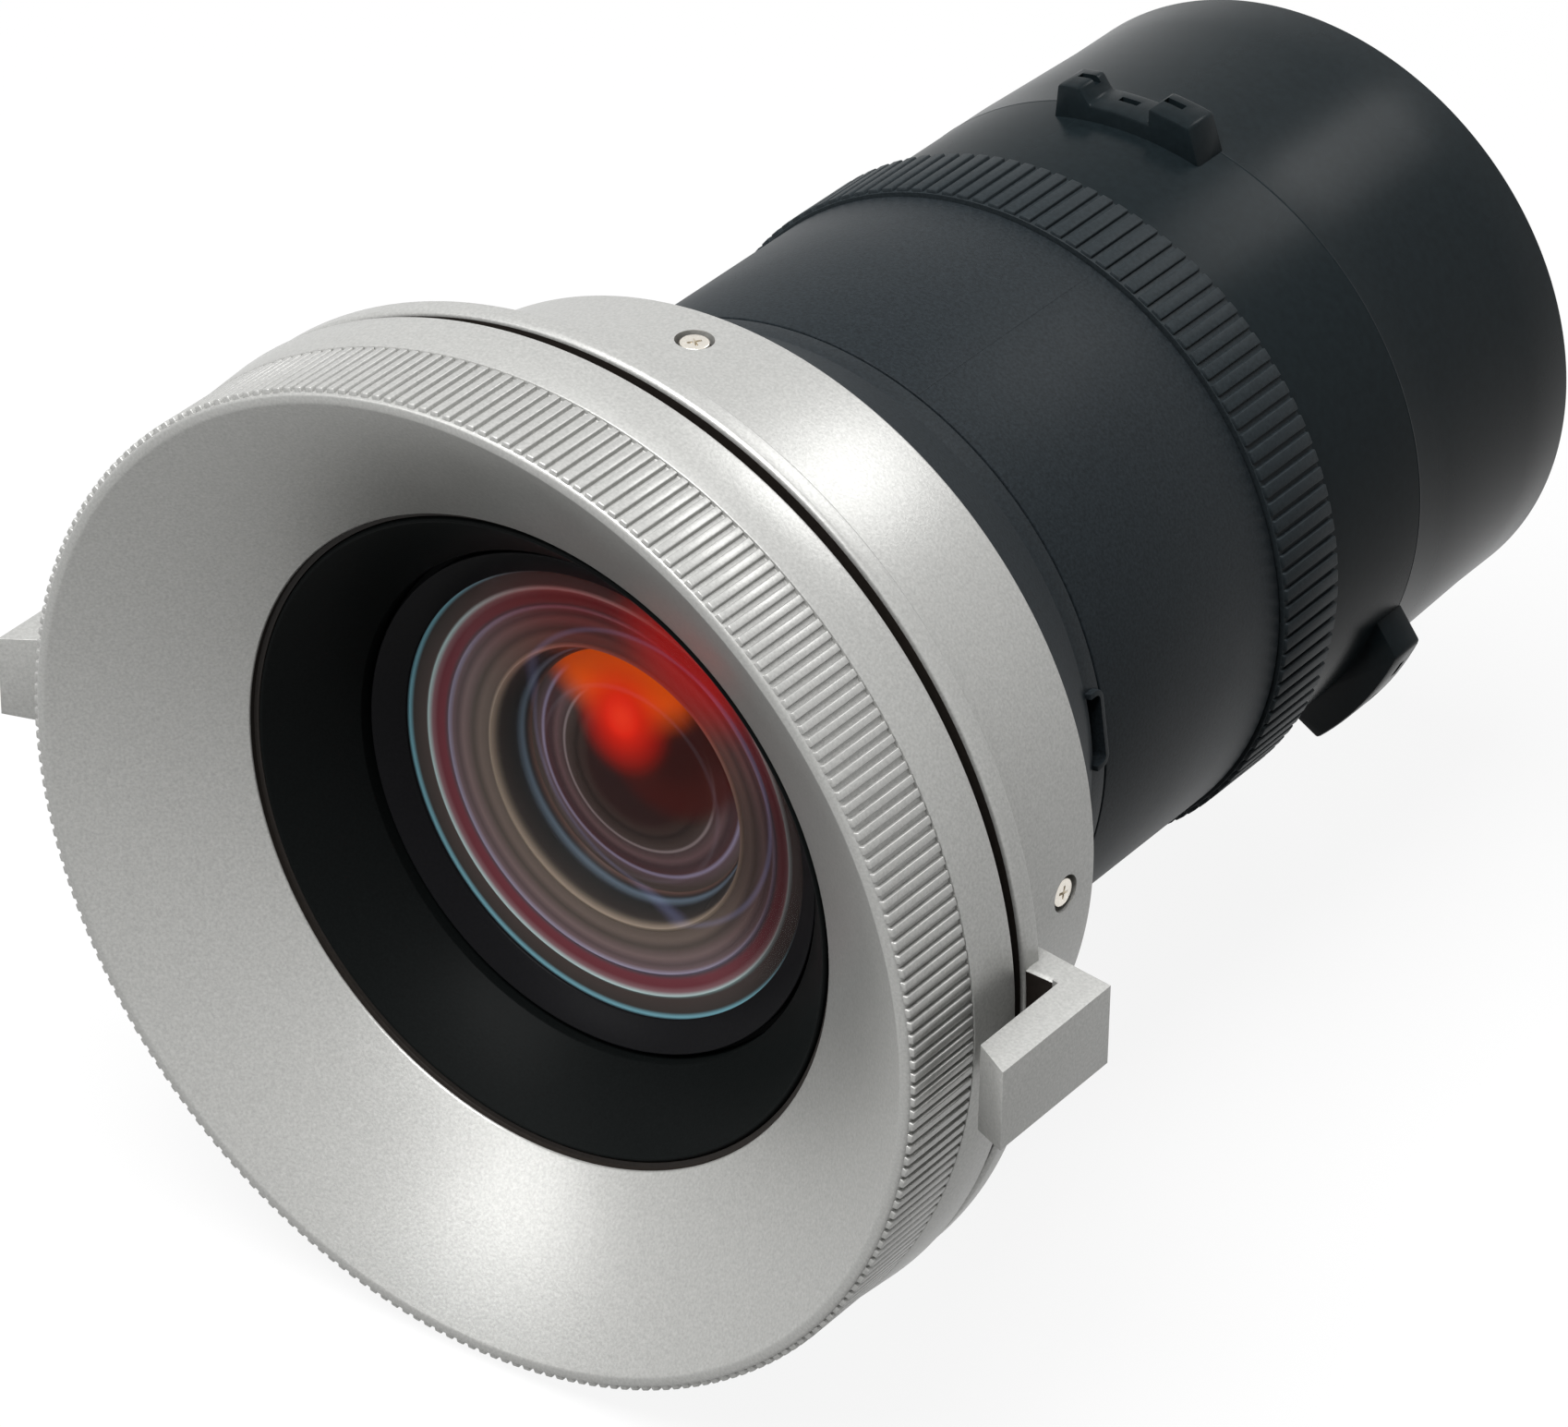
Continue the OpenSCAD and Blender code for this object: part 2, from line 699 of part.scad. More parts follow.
module skirt() {
    color(black) difference() {
        union() {
            turned([
                [fixed_bore, skirt_front],
                [fixed_bore + skirt_wall, skirt_front],
                [fixed_bore + skirt_wall, skirt_step_y - skirt_wall * 2],
                [skirt_r - skirt_wall, skirt_cone_y - skirt_wall / 2],
                [skirt_r - skirt_wall, skirt_front],
                [skirt_r, skirt_front],
                [skirt_r, skirt_cone_y],
                [barrel_r, skirt_step_y],
                [barrel_r, skirt_rear],
                [fixed_bore, skirt_rear]
            ]);
            window_block(fixed_bore + skirt_wall / 2, barrel_r + window_rim_h, window_rim_h);
        }
        window_block(barrel_r - skirt_wall / 2, barrel_r + window_rim_h + cut, 0);
    }
}

module main_barrel() {
    turn_half = knurl_turn + half_angle(pin_r * 2 + end_gap * 2, spigot_r);
    color(black) difference() {
        turned([
            [fixed_bore, barrel_front - line_w],
            [barrel_r - key_depth, barrel_front - line_w],
            [barrel_r - key_depth, barrel_front - skin],
            [barrel_r - skin * 2, barrel_front],
            [barrel_r, barrel_front + skin * 2],
            [barrel_r, barrel_rear],
            [spigot_r, barrel_rear],
            [spigot_r, cover_front - seat_gap],
            [cover_seat_r, cover_front - seat_gap],
            [cover_seat_r, spigot_rear],
            [comp_bore, spigot_rear],
            [comp_bore, shoulder_y],
            [fixed_bore, shoulder_y]
        ]);
        for (a = follower_angles)
            at_angle(a) along(barrel_front - line_w - cut)
                translate([comp_bore, 0, -follower_r - run_gap])
                    cube([
                        fixed_bore + key_depth - comp_bore,
                        follower_y + zoom_travel + follower_r + end_gap - barrel_front + line_w + cut,
                        (follower_r + run_gap) * 2
                    ]);
        intersection() {
            tube(comp_bore - cut, spigot_r + cut, knurl_pin_y - pin_r - end_gap, knurl_pin_y + pin_r + end_gap);
            along(0) at_angle(90) rotate([-90, 0, 0]) linear_extrude(height = cover_rear)
                polygon([
                    [0, 0],
                    [spigot_r * 2 * cos(turn_half), spigot_r * 2 * sin(turn_half)],
                    [spigot_r * 2, 0],
                    [spigot_r * 2 * cos(turn_half), -spigot_r * 2 * sin(turn_half)]
                ]);
        }
    }
}

// Plate with the fixed aperture between zoom group and compensator
module iris_plate() {
    color(dark) tube(iris_r, fixed_bore - seat_gap, plate_front, shoulder_y);
}

module knurled_ring() {
    groove_share = knurl_groove_w / (2 * PI * knurl_r / knurl_count);
    low = knurl_r - knurl_groove_d;
    color(black) difference() {
        union() {
            tube(spigot_r + run_gap, low, knurl_front, knurl_rear);
            prism(knurl_front + skin, knurl_rear - skin) difference() {
                polygon(rib_points(knurl_count, low, knurl_r, 1 - groove_share * 1.6, 1 - groove_share));
                circle(r = low - knurl_groove_d, $fn = fine);
            }
        }
        radial_rod(pin_r, spigot_r, low - skin, knurl_pin_y, 90);
    }
}

// Pin that the knurled ring drives the compensator cell with
module knurl_pin() {
    color(nickel) radial_rod(pin_r - seat_gap / 2, comp_r - key_depth * 2, knurl_r - knurl_groove_d * 2, knurl_pin_y, 90);
}

// One bayonet lug at the top of the cover
module lug() {
    intersection() {
        difference() {
            tube(cover_r - cover_wall / 2, lug_r, lug_front, lug_front + lug_d);
            along(lug_front - cut) translate([-lug_gap_half_w, 0, 0])
                cube([lug_gap_half_w * 2, lug_d + cut * 2, lug_r]);
        }
        prism(lug_front - cut, lug_front + lug_d + cut) lug_outline();
    }
    intersection() {
        tube(cover_r - cover_wall / 2, lug_mid_r, lug_front, lug_front + lug_d);
        prism(lug_front - cut, lug_front + lug_d + cut) lug_outline();
    }
}

// Outline of a lug seen from the front, its sides drawn in towards the top
module lug_outline() {
    foot = sqrt(cover_r * cover_r - lug_foot_half_w * lug_foot_half_w) - cover_wall / 2;
    polygon([
        [-lug_foot_half_w, foot],
        [-lug_half_w, lug_r],
        [lug_half_w, lug_r],
        [lug_foot_half_w, foot]
    ]);
}

module lug_pockets() {
    side = (lug_half_w + lug_gap_half_w) / 2;
    for (place = [[-side, lug_r], [0, lug_mid_r], [side, lug_r]])
        along(lug_front + lug_d * 0.62)
            translate([place[0], 0, place[1] - pocket_d / 2])
                cube([pocket_l, pocket_w, pocket_d + cut], center = true);
}

module rear_cover() {
    color(black) difference() {
        union() {
            turned([
                [cover_inner_r, cover_front],
                [cover_r - lip_round, cover_front],
                [cover_r, cover_front + lip_round],
                [cover_r, cover_front + cover_front_len],
                [cover_rear_r, cover_rear - cover_end_len],
                [cover_rear_r, cover_rear - lip_round * 2],
                [cover_rear_r - lip_round * 2, cover_rear],
                [rear_open_r, cover_rear],
                [rear_open_r, cover_rear - end_wall],
                [cover_rear_inner_r, cover_rear - end_wall],
                [cover_rear_inner_r, cover_rear - cover_end_len],
                [cover_inner_r, cover_front + cover_front_len]
            ]);
            for (a = [0, 90 + low_lug_angle, -90 - low_lug_angle]) at_angle(a) lug();
        }
        for (a = [0, 90 + low_lug_angle, -90 - low_lug_angle]) at_angle(a) lug_pockets();
    }
}

module rear_cell() {
    color(dark) turned([
        [rear_glass_r + seat_gap, rear_cell_rear],
        [rear_cell_r, rear_cell_rear],
        [rear_cell_r, rear_cell_rear - flange_t * 2],
        [cover_rear_inner_r - seat_gap, rear_cell_rear - flange_t * 2],
        [cover_rear_inner_r - seat_gap, rear_cell_rear - flange_t * 3],
        [rear_cell_r, rear_cell_rear - flange_t * 3],
        [rear_cell_r, rear_cell_front + flange_t],
        [cover_inner_r - seat_gap, rear_cell_front + flange_t],
        [cover_inner_r - seat_gap, rear_cell_front],
        [rear_glass_r - cell_lip, rear_cell_front],
        [rear_glass_r - cell_lip, relay_y + rear_seat],
        [rear_glass_r + seat_gap, relay_y + rear_seat]
    ]);
}

module relay_element() {
    color(glass) biconvex(rear_glass_r, relay_y, rear_glass_t, rear_curve_r);
}

module rear_element() {
    color(glass) biconvex(rear_glass_r, rear_glass_y, rear_glass_t, rear_curve_r);
}

// Threaded ring that holds the last glass
module rear_retainer() {
    color(dark) turned([
        [rear_glass_r - cell_lip, rear_glass_y + rear_glass_t - rear_edge + cell_lip],
        [rear_glass_r, rear_glass_y + rear_glass_t - rear_edge + seat_gap],
        [rear_glass_r, rear_cell_rear],
        [rear_glass_r - cell_lip, rear_cell_rear]
    ]);
}

module front_hood() {
    color(black) difference() {
        hood_body();
        key_blocks(hood_r - hood_wall * 2, hood_r + cut,
            guide_shoulder - key_len - focus_travel - end_gap, hood_rear + cut, key_w + run_gap * 2);
    }
}

module hood_body() {
    turned([
        [hood_r - lip_round * 1.5, hood_front],
        [hood_r - lip_round, hood_front],
        [hood_r, hood_front + lip_round],
        [hood_r, hood_rear],
        [hood_r - hood_wall, hood_rear],
        [hood_r - hood_wall, hood_front + hood_wall * 2.4],
        [hood_inner_r + hood_wall, hood_cone_rear + hood_wall],
        [hood_inner_r + hood_wall, hood_rear + hood_tube_len],
        [hood_inner_r, hood_rear + hood_tube_len],
        [hood_inner_r, hood_cone_rear]
    ]);
}

module front_cell() {
    color(dark) turned([
        [front_glass_r + seat_gap, front_cell_front],
        [front_cell_r, front_cell_front],
        [front_cell_r, front_cell_rear],
        [second_glass_r + seat_gap, front_cell_rear],
        [second_glass_r + seat_gap, second_seat_y],
        [second_glass_r - cell_lip, second_seat_y - seat_gap],
        [second_glass_r - cell_lip, front_hollow_y + seat_gap],
        [front_glass_r + seat_gap, front_hollow_y + seat_gap]
    ]);
}

// Ring in front of the first glass
module front_retainer() {
    color(dark) turned([
        [clear_r, inner_ring_y + ring_depth],
        [inner_ring_r, inner_ring_y],
        [inner_ring_r, front_cell_front - seat_gap],
        [front_glass_r, front_cell_front - seat_gap],
        [front_glass_r, inner_ring_y + ring_depth]
    ]);
}

module front_element() {
    color(glass) meniscus(
        front_glass_r, front_glass_y, front_glass_t, front_curve_r, front_hollow_curve_r, front_hollow_r
    );
}

module second_element() {
    color(glass) biconcave(
        second_glass_r, second_glass_y, second_glass_t, second_curve_r, second_hollow_curve_r, second_hollow_r
    );
}

module second_retainer() {
    color(dark) tube(second_hollow_r, second_glass_r, second_edge_y + seat_gap, front_cell_rear);
}

module zoom_cell() {
    color(dark) difference() {
        turned([
            [zoom_glass_r - cell_lip, zoom_glass_a + zoom_glass_t - zoom_seat],
            [zoom_glass_r + seat_gap, zoom_glass_a + zoom_glass_t - zoom_seat],
            [zoom_glass_r + seat_gap, zoom_front],
            [zoom_r, zoom_front],
            [zoom_r, zoom_front + cell_land],
            [zoom_glass_r + cell_lip * 3, zoom_front + cell_land],
            [zoom_glass_r + cell_lip * 3, follower_y - cell_land / 2],
            [zoom_r, follower_y - cell_land / 2],
            [zoom_r, zoom_rear],
            [zoom_glass_r + seat_gap, zoom_rear],
            [zoom_glass_r + seat_gap, zoom_glass_b + zoom_seat],
            [zoom_glass_r - cell_lip, zoom_glass_b + zoom_seat]
        ]);
        for (a = follower_angles)
            radial_rod(follower_r, zoom_r - follower_hold, zoom_r + cut, follower_y, a);
    }
}

module zoom_followers() {
    color(brass) for (a = follower_angles)
        radial_rod(follower_r - seat_gap / 2, zoom_r - follower_hold, follower_out, follower_y, a);
}

module zoom_front_element() {
    color(glass) biconvex(zoom_glass_r, zoom_glass_a, zoom_glass_t, zoom_curve_r);
}

module zoom_rear_element() {
    color(glass) biconvex(zoom_glass_r, zoom_glass_b, zoom_glass_t, zoom_curve_r);
}

// Rings that hold the zoom glasses at both ends of their cell
module zoom_retainer() {
    color(dark) {
        turned([
            [zoom_glass_r - cell_lip, zoom_front],
            [zoom_glass_r, zoom_front],
            [zoom_glass_r, zoom_glass_a + zoom_edge - seat_gap],
            [zoom_glass_r - cell_lip, zoom_glass_a + zoom_edge - cell_lip]
        ]);
        turned([
            [zoom_glass_r - cell_lip, zoom_rear],
            [zoom_glass_r, zoom_rear],
            [zoom_glass_r, zoom_glass_b + zoom_glass_t - zoom_edge + seat_gap],
            [zoom_glass_r - cell_lip, zoom_glass_b + zoom_glass_t - zoom_edge + cell_lip]
        ]);
    }
}

module comp_cell() {
    color(dark) difference() {
        turned([
            [comp_glass_r - cell_lip, comp_front],
            [comp_r, comp_front],
            [comp_r, comp_rear],
            [comp_glass_r + seat_gap, comp_rear],
            [comp_glass_r + seat_gap, comp_glass_y + comp_seat],
            [comp_glass_r - cell_lip, comp_glass_y + comp_seat]
        ]);
        at_angle(90) along(comp_front - cut)
            translate([comp_r - key_depth * 3, 0, -pin_r - run_gap])
                cube([key_depth * 3 + cut, comp_len + cut * 2, (pin_r + run_gap) * 2]);
    }
}

module comp_element() {
    color(glass) biconvex(comp_glass_r, comp_glass_y, comp_glass_t, comp_curve_r);
}

module comp_retainer() {
    back = comp_glass_y + comp_glass_t - comp_edge;
    color(dark) turned([
        [comp_glass_r - cell_lip, back + cell_lip],
        [comp_glass_r, back + seat_gap],
        [comp_glass_r, back + flange_t * 2],
        [comp_glass_r - cell_lip, back + flange_t * 2]
    ]);
}

focus_ring();
lever_ring();
lever_pin();
cam_barrel();
collar();
collar_screws();
guide_ring();
lever_clip();
hood_keys();
skirt();
main_barrel();
iris_plate();
knurled_ring();
knurl_pin();
rear_cover();
rear_cell();
relay_element();
rear_element();
rear_retainer();
front_hood();
front_cell();
front_retainer();
front_element();
second_element();
second_retainer();
zoom_cell();
zoom_followers();
zoom_front_element();
zoom_rear_element();
zoom_retainer();
comp_cell();
comp_element();
comp_retainer();
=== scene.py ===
import math

import bmesh
import bpy
from mathutils import Matrix, Vector


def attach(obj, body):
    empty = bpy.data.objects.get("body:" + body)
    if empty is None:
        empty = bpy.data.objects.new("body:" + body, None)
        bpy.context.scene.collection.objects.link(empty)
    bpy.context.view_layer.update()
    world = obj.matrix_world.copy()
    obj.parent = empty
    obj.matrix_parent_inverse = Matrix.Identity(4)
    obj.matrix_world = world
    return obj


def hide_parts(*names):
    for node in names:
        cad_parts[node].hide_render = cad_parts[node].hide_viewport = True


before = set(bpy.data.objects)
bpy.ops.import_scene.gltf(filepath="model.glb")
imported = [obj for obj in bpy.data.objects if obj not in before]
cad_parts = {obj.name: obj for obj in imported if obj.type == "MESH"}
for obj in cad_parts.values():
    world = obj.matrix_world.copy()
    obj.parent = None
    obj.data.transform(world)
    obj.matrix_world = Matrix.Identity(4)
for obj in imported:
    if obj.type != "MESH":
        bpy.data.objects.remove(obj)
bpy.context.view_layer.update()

# The lens lies along Y. Lengths are in millimetres here, and distances are
# counted from the front rim. place() turns them into the frame's metres,
# whose origin is at the lugs.
MM = 0.001
RIM_TO_LUGS = 135.4
ROUND_STEPS, GLASS_ROUND_STEPS = 360, 192
# Points of a mesh nearer than this are merged, or taken to be at one place.
MERGE_DISTANCE, SAME_PLACE = 1e-6, 1e-7
# Edges of a turned profile are rounded where they turn more than this angle.
PROFILE_CORNER = 12


def place(distance):
    """The frame's Y of a distance behind the rim."""
    return (distance - RIM_TO_LUGS) * MM


# Camera, fitted to the circles in the photo. Its aim and its distance are in
# radii of the front rim.
CAMERA_AZIMUTH, CAMERA_ELEVATION = 36.34, 32.39
CAMERA_ASIDE, CAMERA_LIFT, CAMERA_AWAY = -0.585, -0.337, 13.807
RIM_RADIUS = 65.0
SENSOR_WIDTH = 36.0
FOCAL_LENGTH = SENSOR_WIDTH * 8352.0 / 1698.0
NEAR_CLIP, FAR_CLIP = 0.05, 20.0


def add_camera():
    azimuth = math.radians(CAMERA_AZIMUTH)
    elevation = math.radians(CAMERA_ELEVATION)
    right = Vector((math.cos(azimuth), math.sin(azimuth), 0))
    up = Vector((
        -math.sin(azimuth) * math.sin(elevation),
        math.cos(azimuth) * math.sin(elevation),
        math.cos(elevation),
    ))
    back = right.cross(up)
    eye = (CAMERA_AWAY * back - CAMERA_ASIDE * right - CAMERA_LIFT * up) * RIM_RADIUS * MM
    eye.y += place(0)
    camera_data = bpy.data.cameras.new("photo_camera")
    camera_data.sensor_fit = "HORIZONTAL"
    camera_data.sensor_width = SENSOR_WIDTH
    camera_data.lens = FOCAL_LENGTH
    camera_data.clip_start = NEAR_CLIP
    camera_data.clip_end = FAR_CLIP
    camera = bpy.data.objects.new("photo_camera", camera_data)
    bpy.context.scene.collection.objects.link(camera)
    turn = Matrix((right, up, back)).transposed().to_4x4()
    camera.matrix_world = Matrix.Translation(eye) @ turn
    bpy.context.scene.camera = camera


add_camera()
bpy.context.scene.view_settings.view_transform = "Standard"


# Modelling
def deselect():
    if bpy.context.object and bpy.context.object.mode != "OBJECT":
        bpy.ops.object.mode_set(mode="OBJECT")
    bpy.ops.object.select_all(action="DESELECT")


def make_active(piece):
    deselect()
    piece.select_set(True)
    bpy.context.view_layer.objects.active = piece


def edit(piece):
    make_active(piece)
    bpy.ops.object.mode_set(mode="EDIT")
    bpy.ops.mesh.select_mode(type="VERT")


def leave_edit():
    bpy.ops.object.mode_set(mode="OBJECT")


def settle(piece, name):
    """Names a finished piece and moves its place into its mesh."""
    make_active(piece)
    bpy.ops.object.transform_apply(location=True, rotation=True, scale=True)
    piece.name = name
    piece.data.name = name
    return piece


def recalc(piece):
    """Merges doubles and turns every face outwards."""
    edit(piece)
    bpy.ops.mesh.select_all(action="SELECT")
    bpy.ops.mesh.remove_doubles(threshold=MERGE_DISTANCE)
    bpy.ops.mesh.normals_make_consistent(inside=False)
    leave_edit()


def bevel(piece, width, segments=2, angle=30):
    """Rounds the edges that are sharper than an angle in degrees."""
    make_active(piece)
    modifier = piece.modifiers.new("edge_bevel", "BEVEL")
    modifier.width = width * MM
    modifier.segments = segments
    modifier.limit_method = "ANGLE"
    modifier.angle_limit = math.radians(angle)
    modifier.use_clamp_overlap = True
    bpy.ops.object.modifier_apply(modifier=modifier.name)


def smooth(piece, angle=32):
    """Shades smooth, but for the edges sharper than an angle in degrees."""
    make_active(piece)
    bpy.ops.object.shade_smooth_by_angle(angle=math.radians(angle))


def cut_with(piece, cutter, operation="DIFFERENCE"):
    """Cuts a piece with another, or joins the two, and removes the other."""
    make_active(piece)
    modifier = piece.modifiers.new("cut", "BOOLEAN")
    modifier.operation = operation
    modifier.solver = "EXACT"
    modifier.object = cutter
    bpy.ops.object.modifier_apply(modifier=modifier.name)
    bpy.data.objects.remove(cutter, do_unlink=True)


def outline(name, points, closed=True):
    """A flat outline, drawn point by point with extrude."""
    bpy.ops.object.select_all(action="DESELECT")
    bpy.ops.mesh.primitive_plane_add(size=MM, location=(0, 0, 0))
    piece = bpy.context.object
    edit(piece)
    bpy.ops.mesh.select_all(action="SELECT")
    bpy.ops.mesh.merge(type="CENTER")
    bpy.ops.transform.translate(value=Vector(points[0]))
    for before, after in zip(points, points[1:]):
        bpy.ops.mesh.extrude_region_move(
            TRANSFORM_OT_translate={"value": Vector(after) - Vector(before)}
        )
    if closed:
        ends = (Vector(points[0]), Vector(points[-1]))
        select_where(piece, lambda co: min((co - end).length for end in ends) < SAME_PLACE)
        bpy.ops.mesh.edge_face_add()
    bpy.ops.mesh.select_all(action="SELECT")
    leave_edit()
    piece.name = name
    return piece


def spin_round(piece, steps):
    """Spins an outline a whole turn about the lens axis."""
    edit(piece)
    bpy.ops.mesh.select_all(action="SELECT")
    bpy.ops.mesh.spin(steps=steps, angle=math.tau, center=(0, 0, 0), axis=(0, 1, 0))
    leave_edit()
    recalc(piece)


def turned(name, profile, rounding=0.0):
    """A turned ring from its profile, pairs of a radius and a distance."""
    piece = outline(name, [(radius * MM, place(distance), 0) for radius, distance in profile])
    spin_round(piece, ROUND_STEPS)
    if rounding:
        bevel(piece, rounding, angle=PROFILE_CORNER)
    smooth(piece)
    return settle(piece, name)


def turned_solid(name, profile):
    """A turned glass whose profile begins and ends on the axis."""
    points = [(radius * MM, place(distance), 0) for radius, distance in profile]
    piece = outline(name, points, closed=False)
    spin_round(piece, GLASS_ROUND_STEPS)
    smooth(piece, 30)
    return settle(piece, name)


def prism(name, points, lift):
    """A closed prism: an outline in metres, extruded by the vector lift."""
    piece = outline(name, points)
    edit(piece)
    bpy.ops.mesh.select_all(action="SELECT")
    bpy.ops.mesh.edge_face_add()
    bpy.ops.mesh.extrude_region_move(TRANSFORM_OT_translate={"value": Vector(lift)})
    bpy.ops.mesh.select_all(action="SELECT")
    bpy.ops.mesh.normals_make_consistent(inside=False)
    leave_edit()
    return piece


def turn_about_axis(piece, degrees):
    """Turns a finished piece about the lens axis, from +X towards +Z."""
    make_active(piece)
    bpy.ops.transform.rotate(
        value=math.radians(degrees), orient_axis="Y", center_override=(0, 0, 0)
    )
    bpy.ops.object.transform_apply(location=True, rotation=True, scale=True)


def copy_of(piece, name):
    twin = piece.copy()
    twin.data = piece.data.copy()
    twin.name = name
    bpy.context.scene.collection.objects.link(twin)
    return twin


def join(name, pieces):
    deselect()
    for piece in pieces:
        piece.select_set(True)
    bpy.context.view_layer.objects.active = pieces[0]
    bpy.ops.object.join()
    return settle(pieces[0], name)


def ring_of(piece, count):
    """Copies a piece about the lens axis, as with a duplicating spin."""
    edit(piece)
    bpy.ops.mesh.select_all(action="SELECT")
    bpy.ops.mesh.spin(
        steps=count - 1, dupli=True, angle=math.tau * (count - 1) / count,
        center=(0, 0, 0), axis=(0, 1, 0),
    )
    leave_edit()


def radial_cylinder(radius, from_r, to_r, distance, vertices=48):
    """A cylinder that points outwards at +X."""
    deselect()
    bpy.ops.mesh.primitive_cylinder_add(
        vertices=vertices, radius=radius * MM, depth=(to_r - from_r) * MM,
        location=((from_r + to_r) / 2 * MM, place(distance), 0),
        rotation=(0, math.pi / 2, 0),
    )
    piece = bpy.context.object
    bpy.ops.object.transform_apply(location=True, rotation=True, scale=True)
    return piece


def block(size, centre):
    """A box of a size and centre in millimetres, x, distance, z."""
    deselect()
    bpy.ops.mesh.primitive_cube_add(
        size=1, location=(centre[0] * MM, place(centre[1]), centre[2] * MM)
    )
    piece = bpy.context.object
    piece.scale = Vector(size) * MM
    bpy.ops.object.transform_apply(location=True, rotation=True, scale=True)
    return piece


def select_where(piece, test):
    """In edit mode, selects the vertices whose place passes a test."""
    bpy.ops.mesh.select_all(action="DESELECT")
    shape = bmesh.from_edit_mesh(piece.data)
    for vertex in shape.verts:
        vertex.select = test(vertex.co)
    shape.select_flush_mode()
    bmesh.update_edit_mesh(piece.data)


# Materials. A roughness patch is PATCH_SIZE times as wide as a grain.
GRAIN_DETAIL, GRAIN_ROUGHNESS = 3.0, 0.6
GRAIN_LOW, GRAIN_HIGH = 0.3, 0.72
PATCH_SIZE, PATCH_DETAIL = 28, 2.0


def new_material(name):
    material = bpy.data.materials.new(name)
    material.use_nodes = True
    nodes = material.node_tree.nodes
    return material, nodes, material.node_tree.links, nodes["Principled BSDF"]


def add_grain(nodes, links, shader, scale, depth, base, spread, roughness, rough_spread):
    """Grain in colour and relief, and wider patches in roughness, by place."""
    where = nodes.new("ShaderNodeTexCoord")
    grain = nodes.new("ShaderNodeTexNoise")
    grain.inputs["Scale"].default_value = scale
    grain.inputs["Detail"].default_value = GRAIN_DETAIL
    grain.inputs["Roughness"].default_value = GRAIN_ROUGHNESS
    links.new(where.outputs["Object"], grain.inputs["Vector"])
    wide = nodes.new("ShaderNodeTexNoise")
    wide.inputs["Scale"].default_value = scale / PATCH_SIZE
    wide.inputs["Detail"].default_value = PATCH_DETAIL
    links.new(where.outputs["Object"], wide.inputs["Vector"])
    tone = nodes.new("ShaderNodeValToRGB")
    low, high = tone.color_ramp.elements
    low.position, high.position = GRAIN_LOW, GRAIN_HIGH
    low.color = [channel * (1 - spread) for channel in base] + [1]
    high.color = [min(channel * (1 + spread), 1) for channel in base] + [1]
    links.new(grain.outputs["Fac"], tone.inputs["Fac"])
    links.new(tone.outputs["Color"], shader.inputs["Base Color"])
    gloss = nodes.new("ShaderNodeMapRange")
    gloss.inputs["To Min"].default_value = roughness - rough_spread
    gloss.inputs["To Max"].default_value = roughness + rough_spread
    links.new(wide.outputs["Fac"], gloss.inputs["Value"])
    links.new(gloss.outputs["Result"], shader.inputs["Roughness"])
    relief = nodes.new("ShaderNodeBump")
    relief.inputs["Distance"].default_value = depth
    links.new(grain.outputs["Fac"], relief.inputs["Height"])
    links.new(relief.outputs["Normal"], shader.inputs["Normal"])


def silver_paint():
    """Satin silver paint with fine metal flakes."""
    material, nodes, links, shader = new_material("silver_paint")
    shader.inputs["Metallic"].default_value = 0.45
    shader.inputs["Specular IOR Level"].default_value = 0.2
    add_grain(nodes, links, shader, scale=2600, depth=2.2e-5, base=(0.41, 0.41, 0.397),
              spread=0.13, roughness=0.36, rough_spread=0.03)
    return material


def unpainted():
    """Black-brown inner faces that the silver paint doesn't reach."""
    material, nodes, links, shader = new_material("unpainted")
    shader.inputs["Specular IOR Level"].default_value = 0.15
    add_grain(nodes, links, shader, scale=1800, depth=1.0e-5, base=(0.016, 0.013, 0.011),
              spread=0.2, roughness=0.5, rough_spread=0.05)
    return material


def black_satin():
    """Satin black moulding of the barrel, with a fine sparkle."""
    material, nodes, links, shader = new_material("black_satin")
    shader.inputs["Specular IOR Level"].default_value = 0.07
    add_grain(nodes, links, shader, scale=2400, depth=2.0e-5, base=(0.014, 0.018, 0.021),
              spread=0.35, roughness=0.45, rough_spread=0.04)
    return material


def black_knurl():
    """Duller black of the knurled ring."""
    material, nodes, links, shader = new_material("black_knurl")
    shader.inputs["Specular IOR Level"].default_value = 0.07
    add_grain(nodes, links, shader, scale=2000, depth=1.6e-5, base=(0.018, 0.023, 0.026),
              spread=0.25, roughness=0.48, rough_spread=0.05)
    return material


def black_cover():
    """Semi-gloss moulded cover."""
    material, nodes, links, shader = new_material("black_cover")
    shader.inputs["Specular IOR Level"].default_value = 0.06
    add_grain(nodes, links, shader, scale=900, depth=0.5e-5, base=(0.008, 0.012, 0.014),
              spread=0.15, roughness=0.27, rough_spread=0.03)
    return material


def matte_black():
    """Matte black inside the hood and cells."""
    material, nodes, links, shader = new_material("matte_black")
    shader.inputs["Specular IOR Level"].default_value = 0.03
    add_grain(nodes, links, shader, scale=3000, depth=1.2e-5, base=(0.005, 0.006, 0.006),
              spread=0.2, roughness=0.42, rough_spread=0.04)
    return material


def dark_grey():
    """Dark anodised ring round the first glass."""
    material, nodes, links, shader = new_material("dark_grey")
    shader.inputs["Specular IOR Level"].default_value = 0.04
    add_grain(nodes, links, shader, scale=2500, depth=1.0e-5, base=(0.007, 0.007, 0.008),
              spread=0.15, roughness=0.36, rough_spread=0.03)
    return material


def nickel():
    """Bright nickel-plated screws."""
    material, nodes, links, shader = new_material("nickel")
    shader.inputs["Metallic"].default_value = 1.0
    add_grain(nodes, links, shader, scale=1800, depth=0.6e-5, base=(0.74, 0.70, 0.63),
              spread=0.06, roughness=0.24, rough_spread=0.05)
    return material


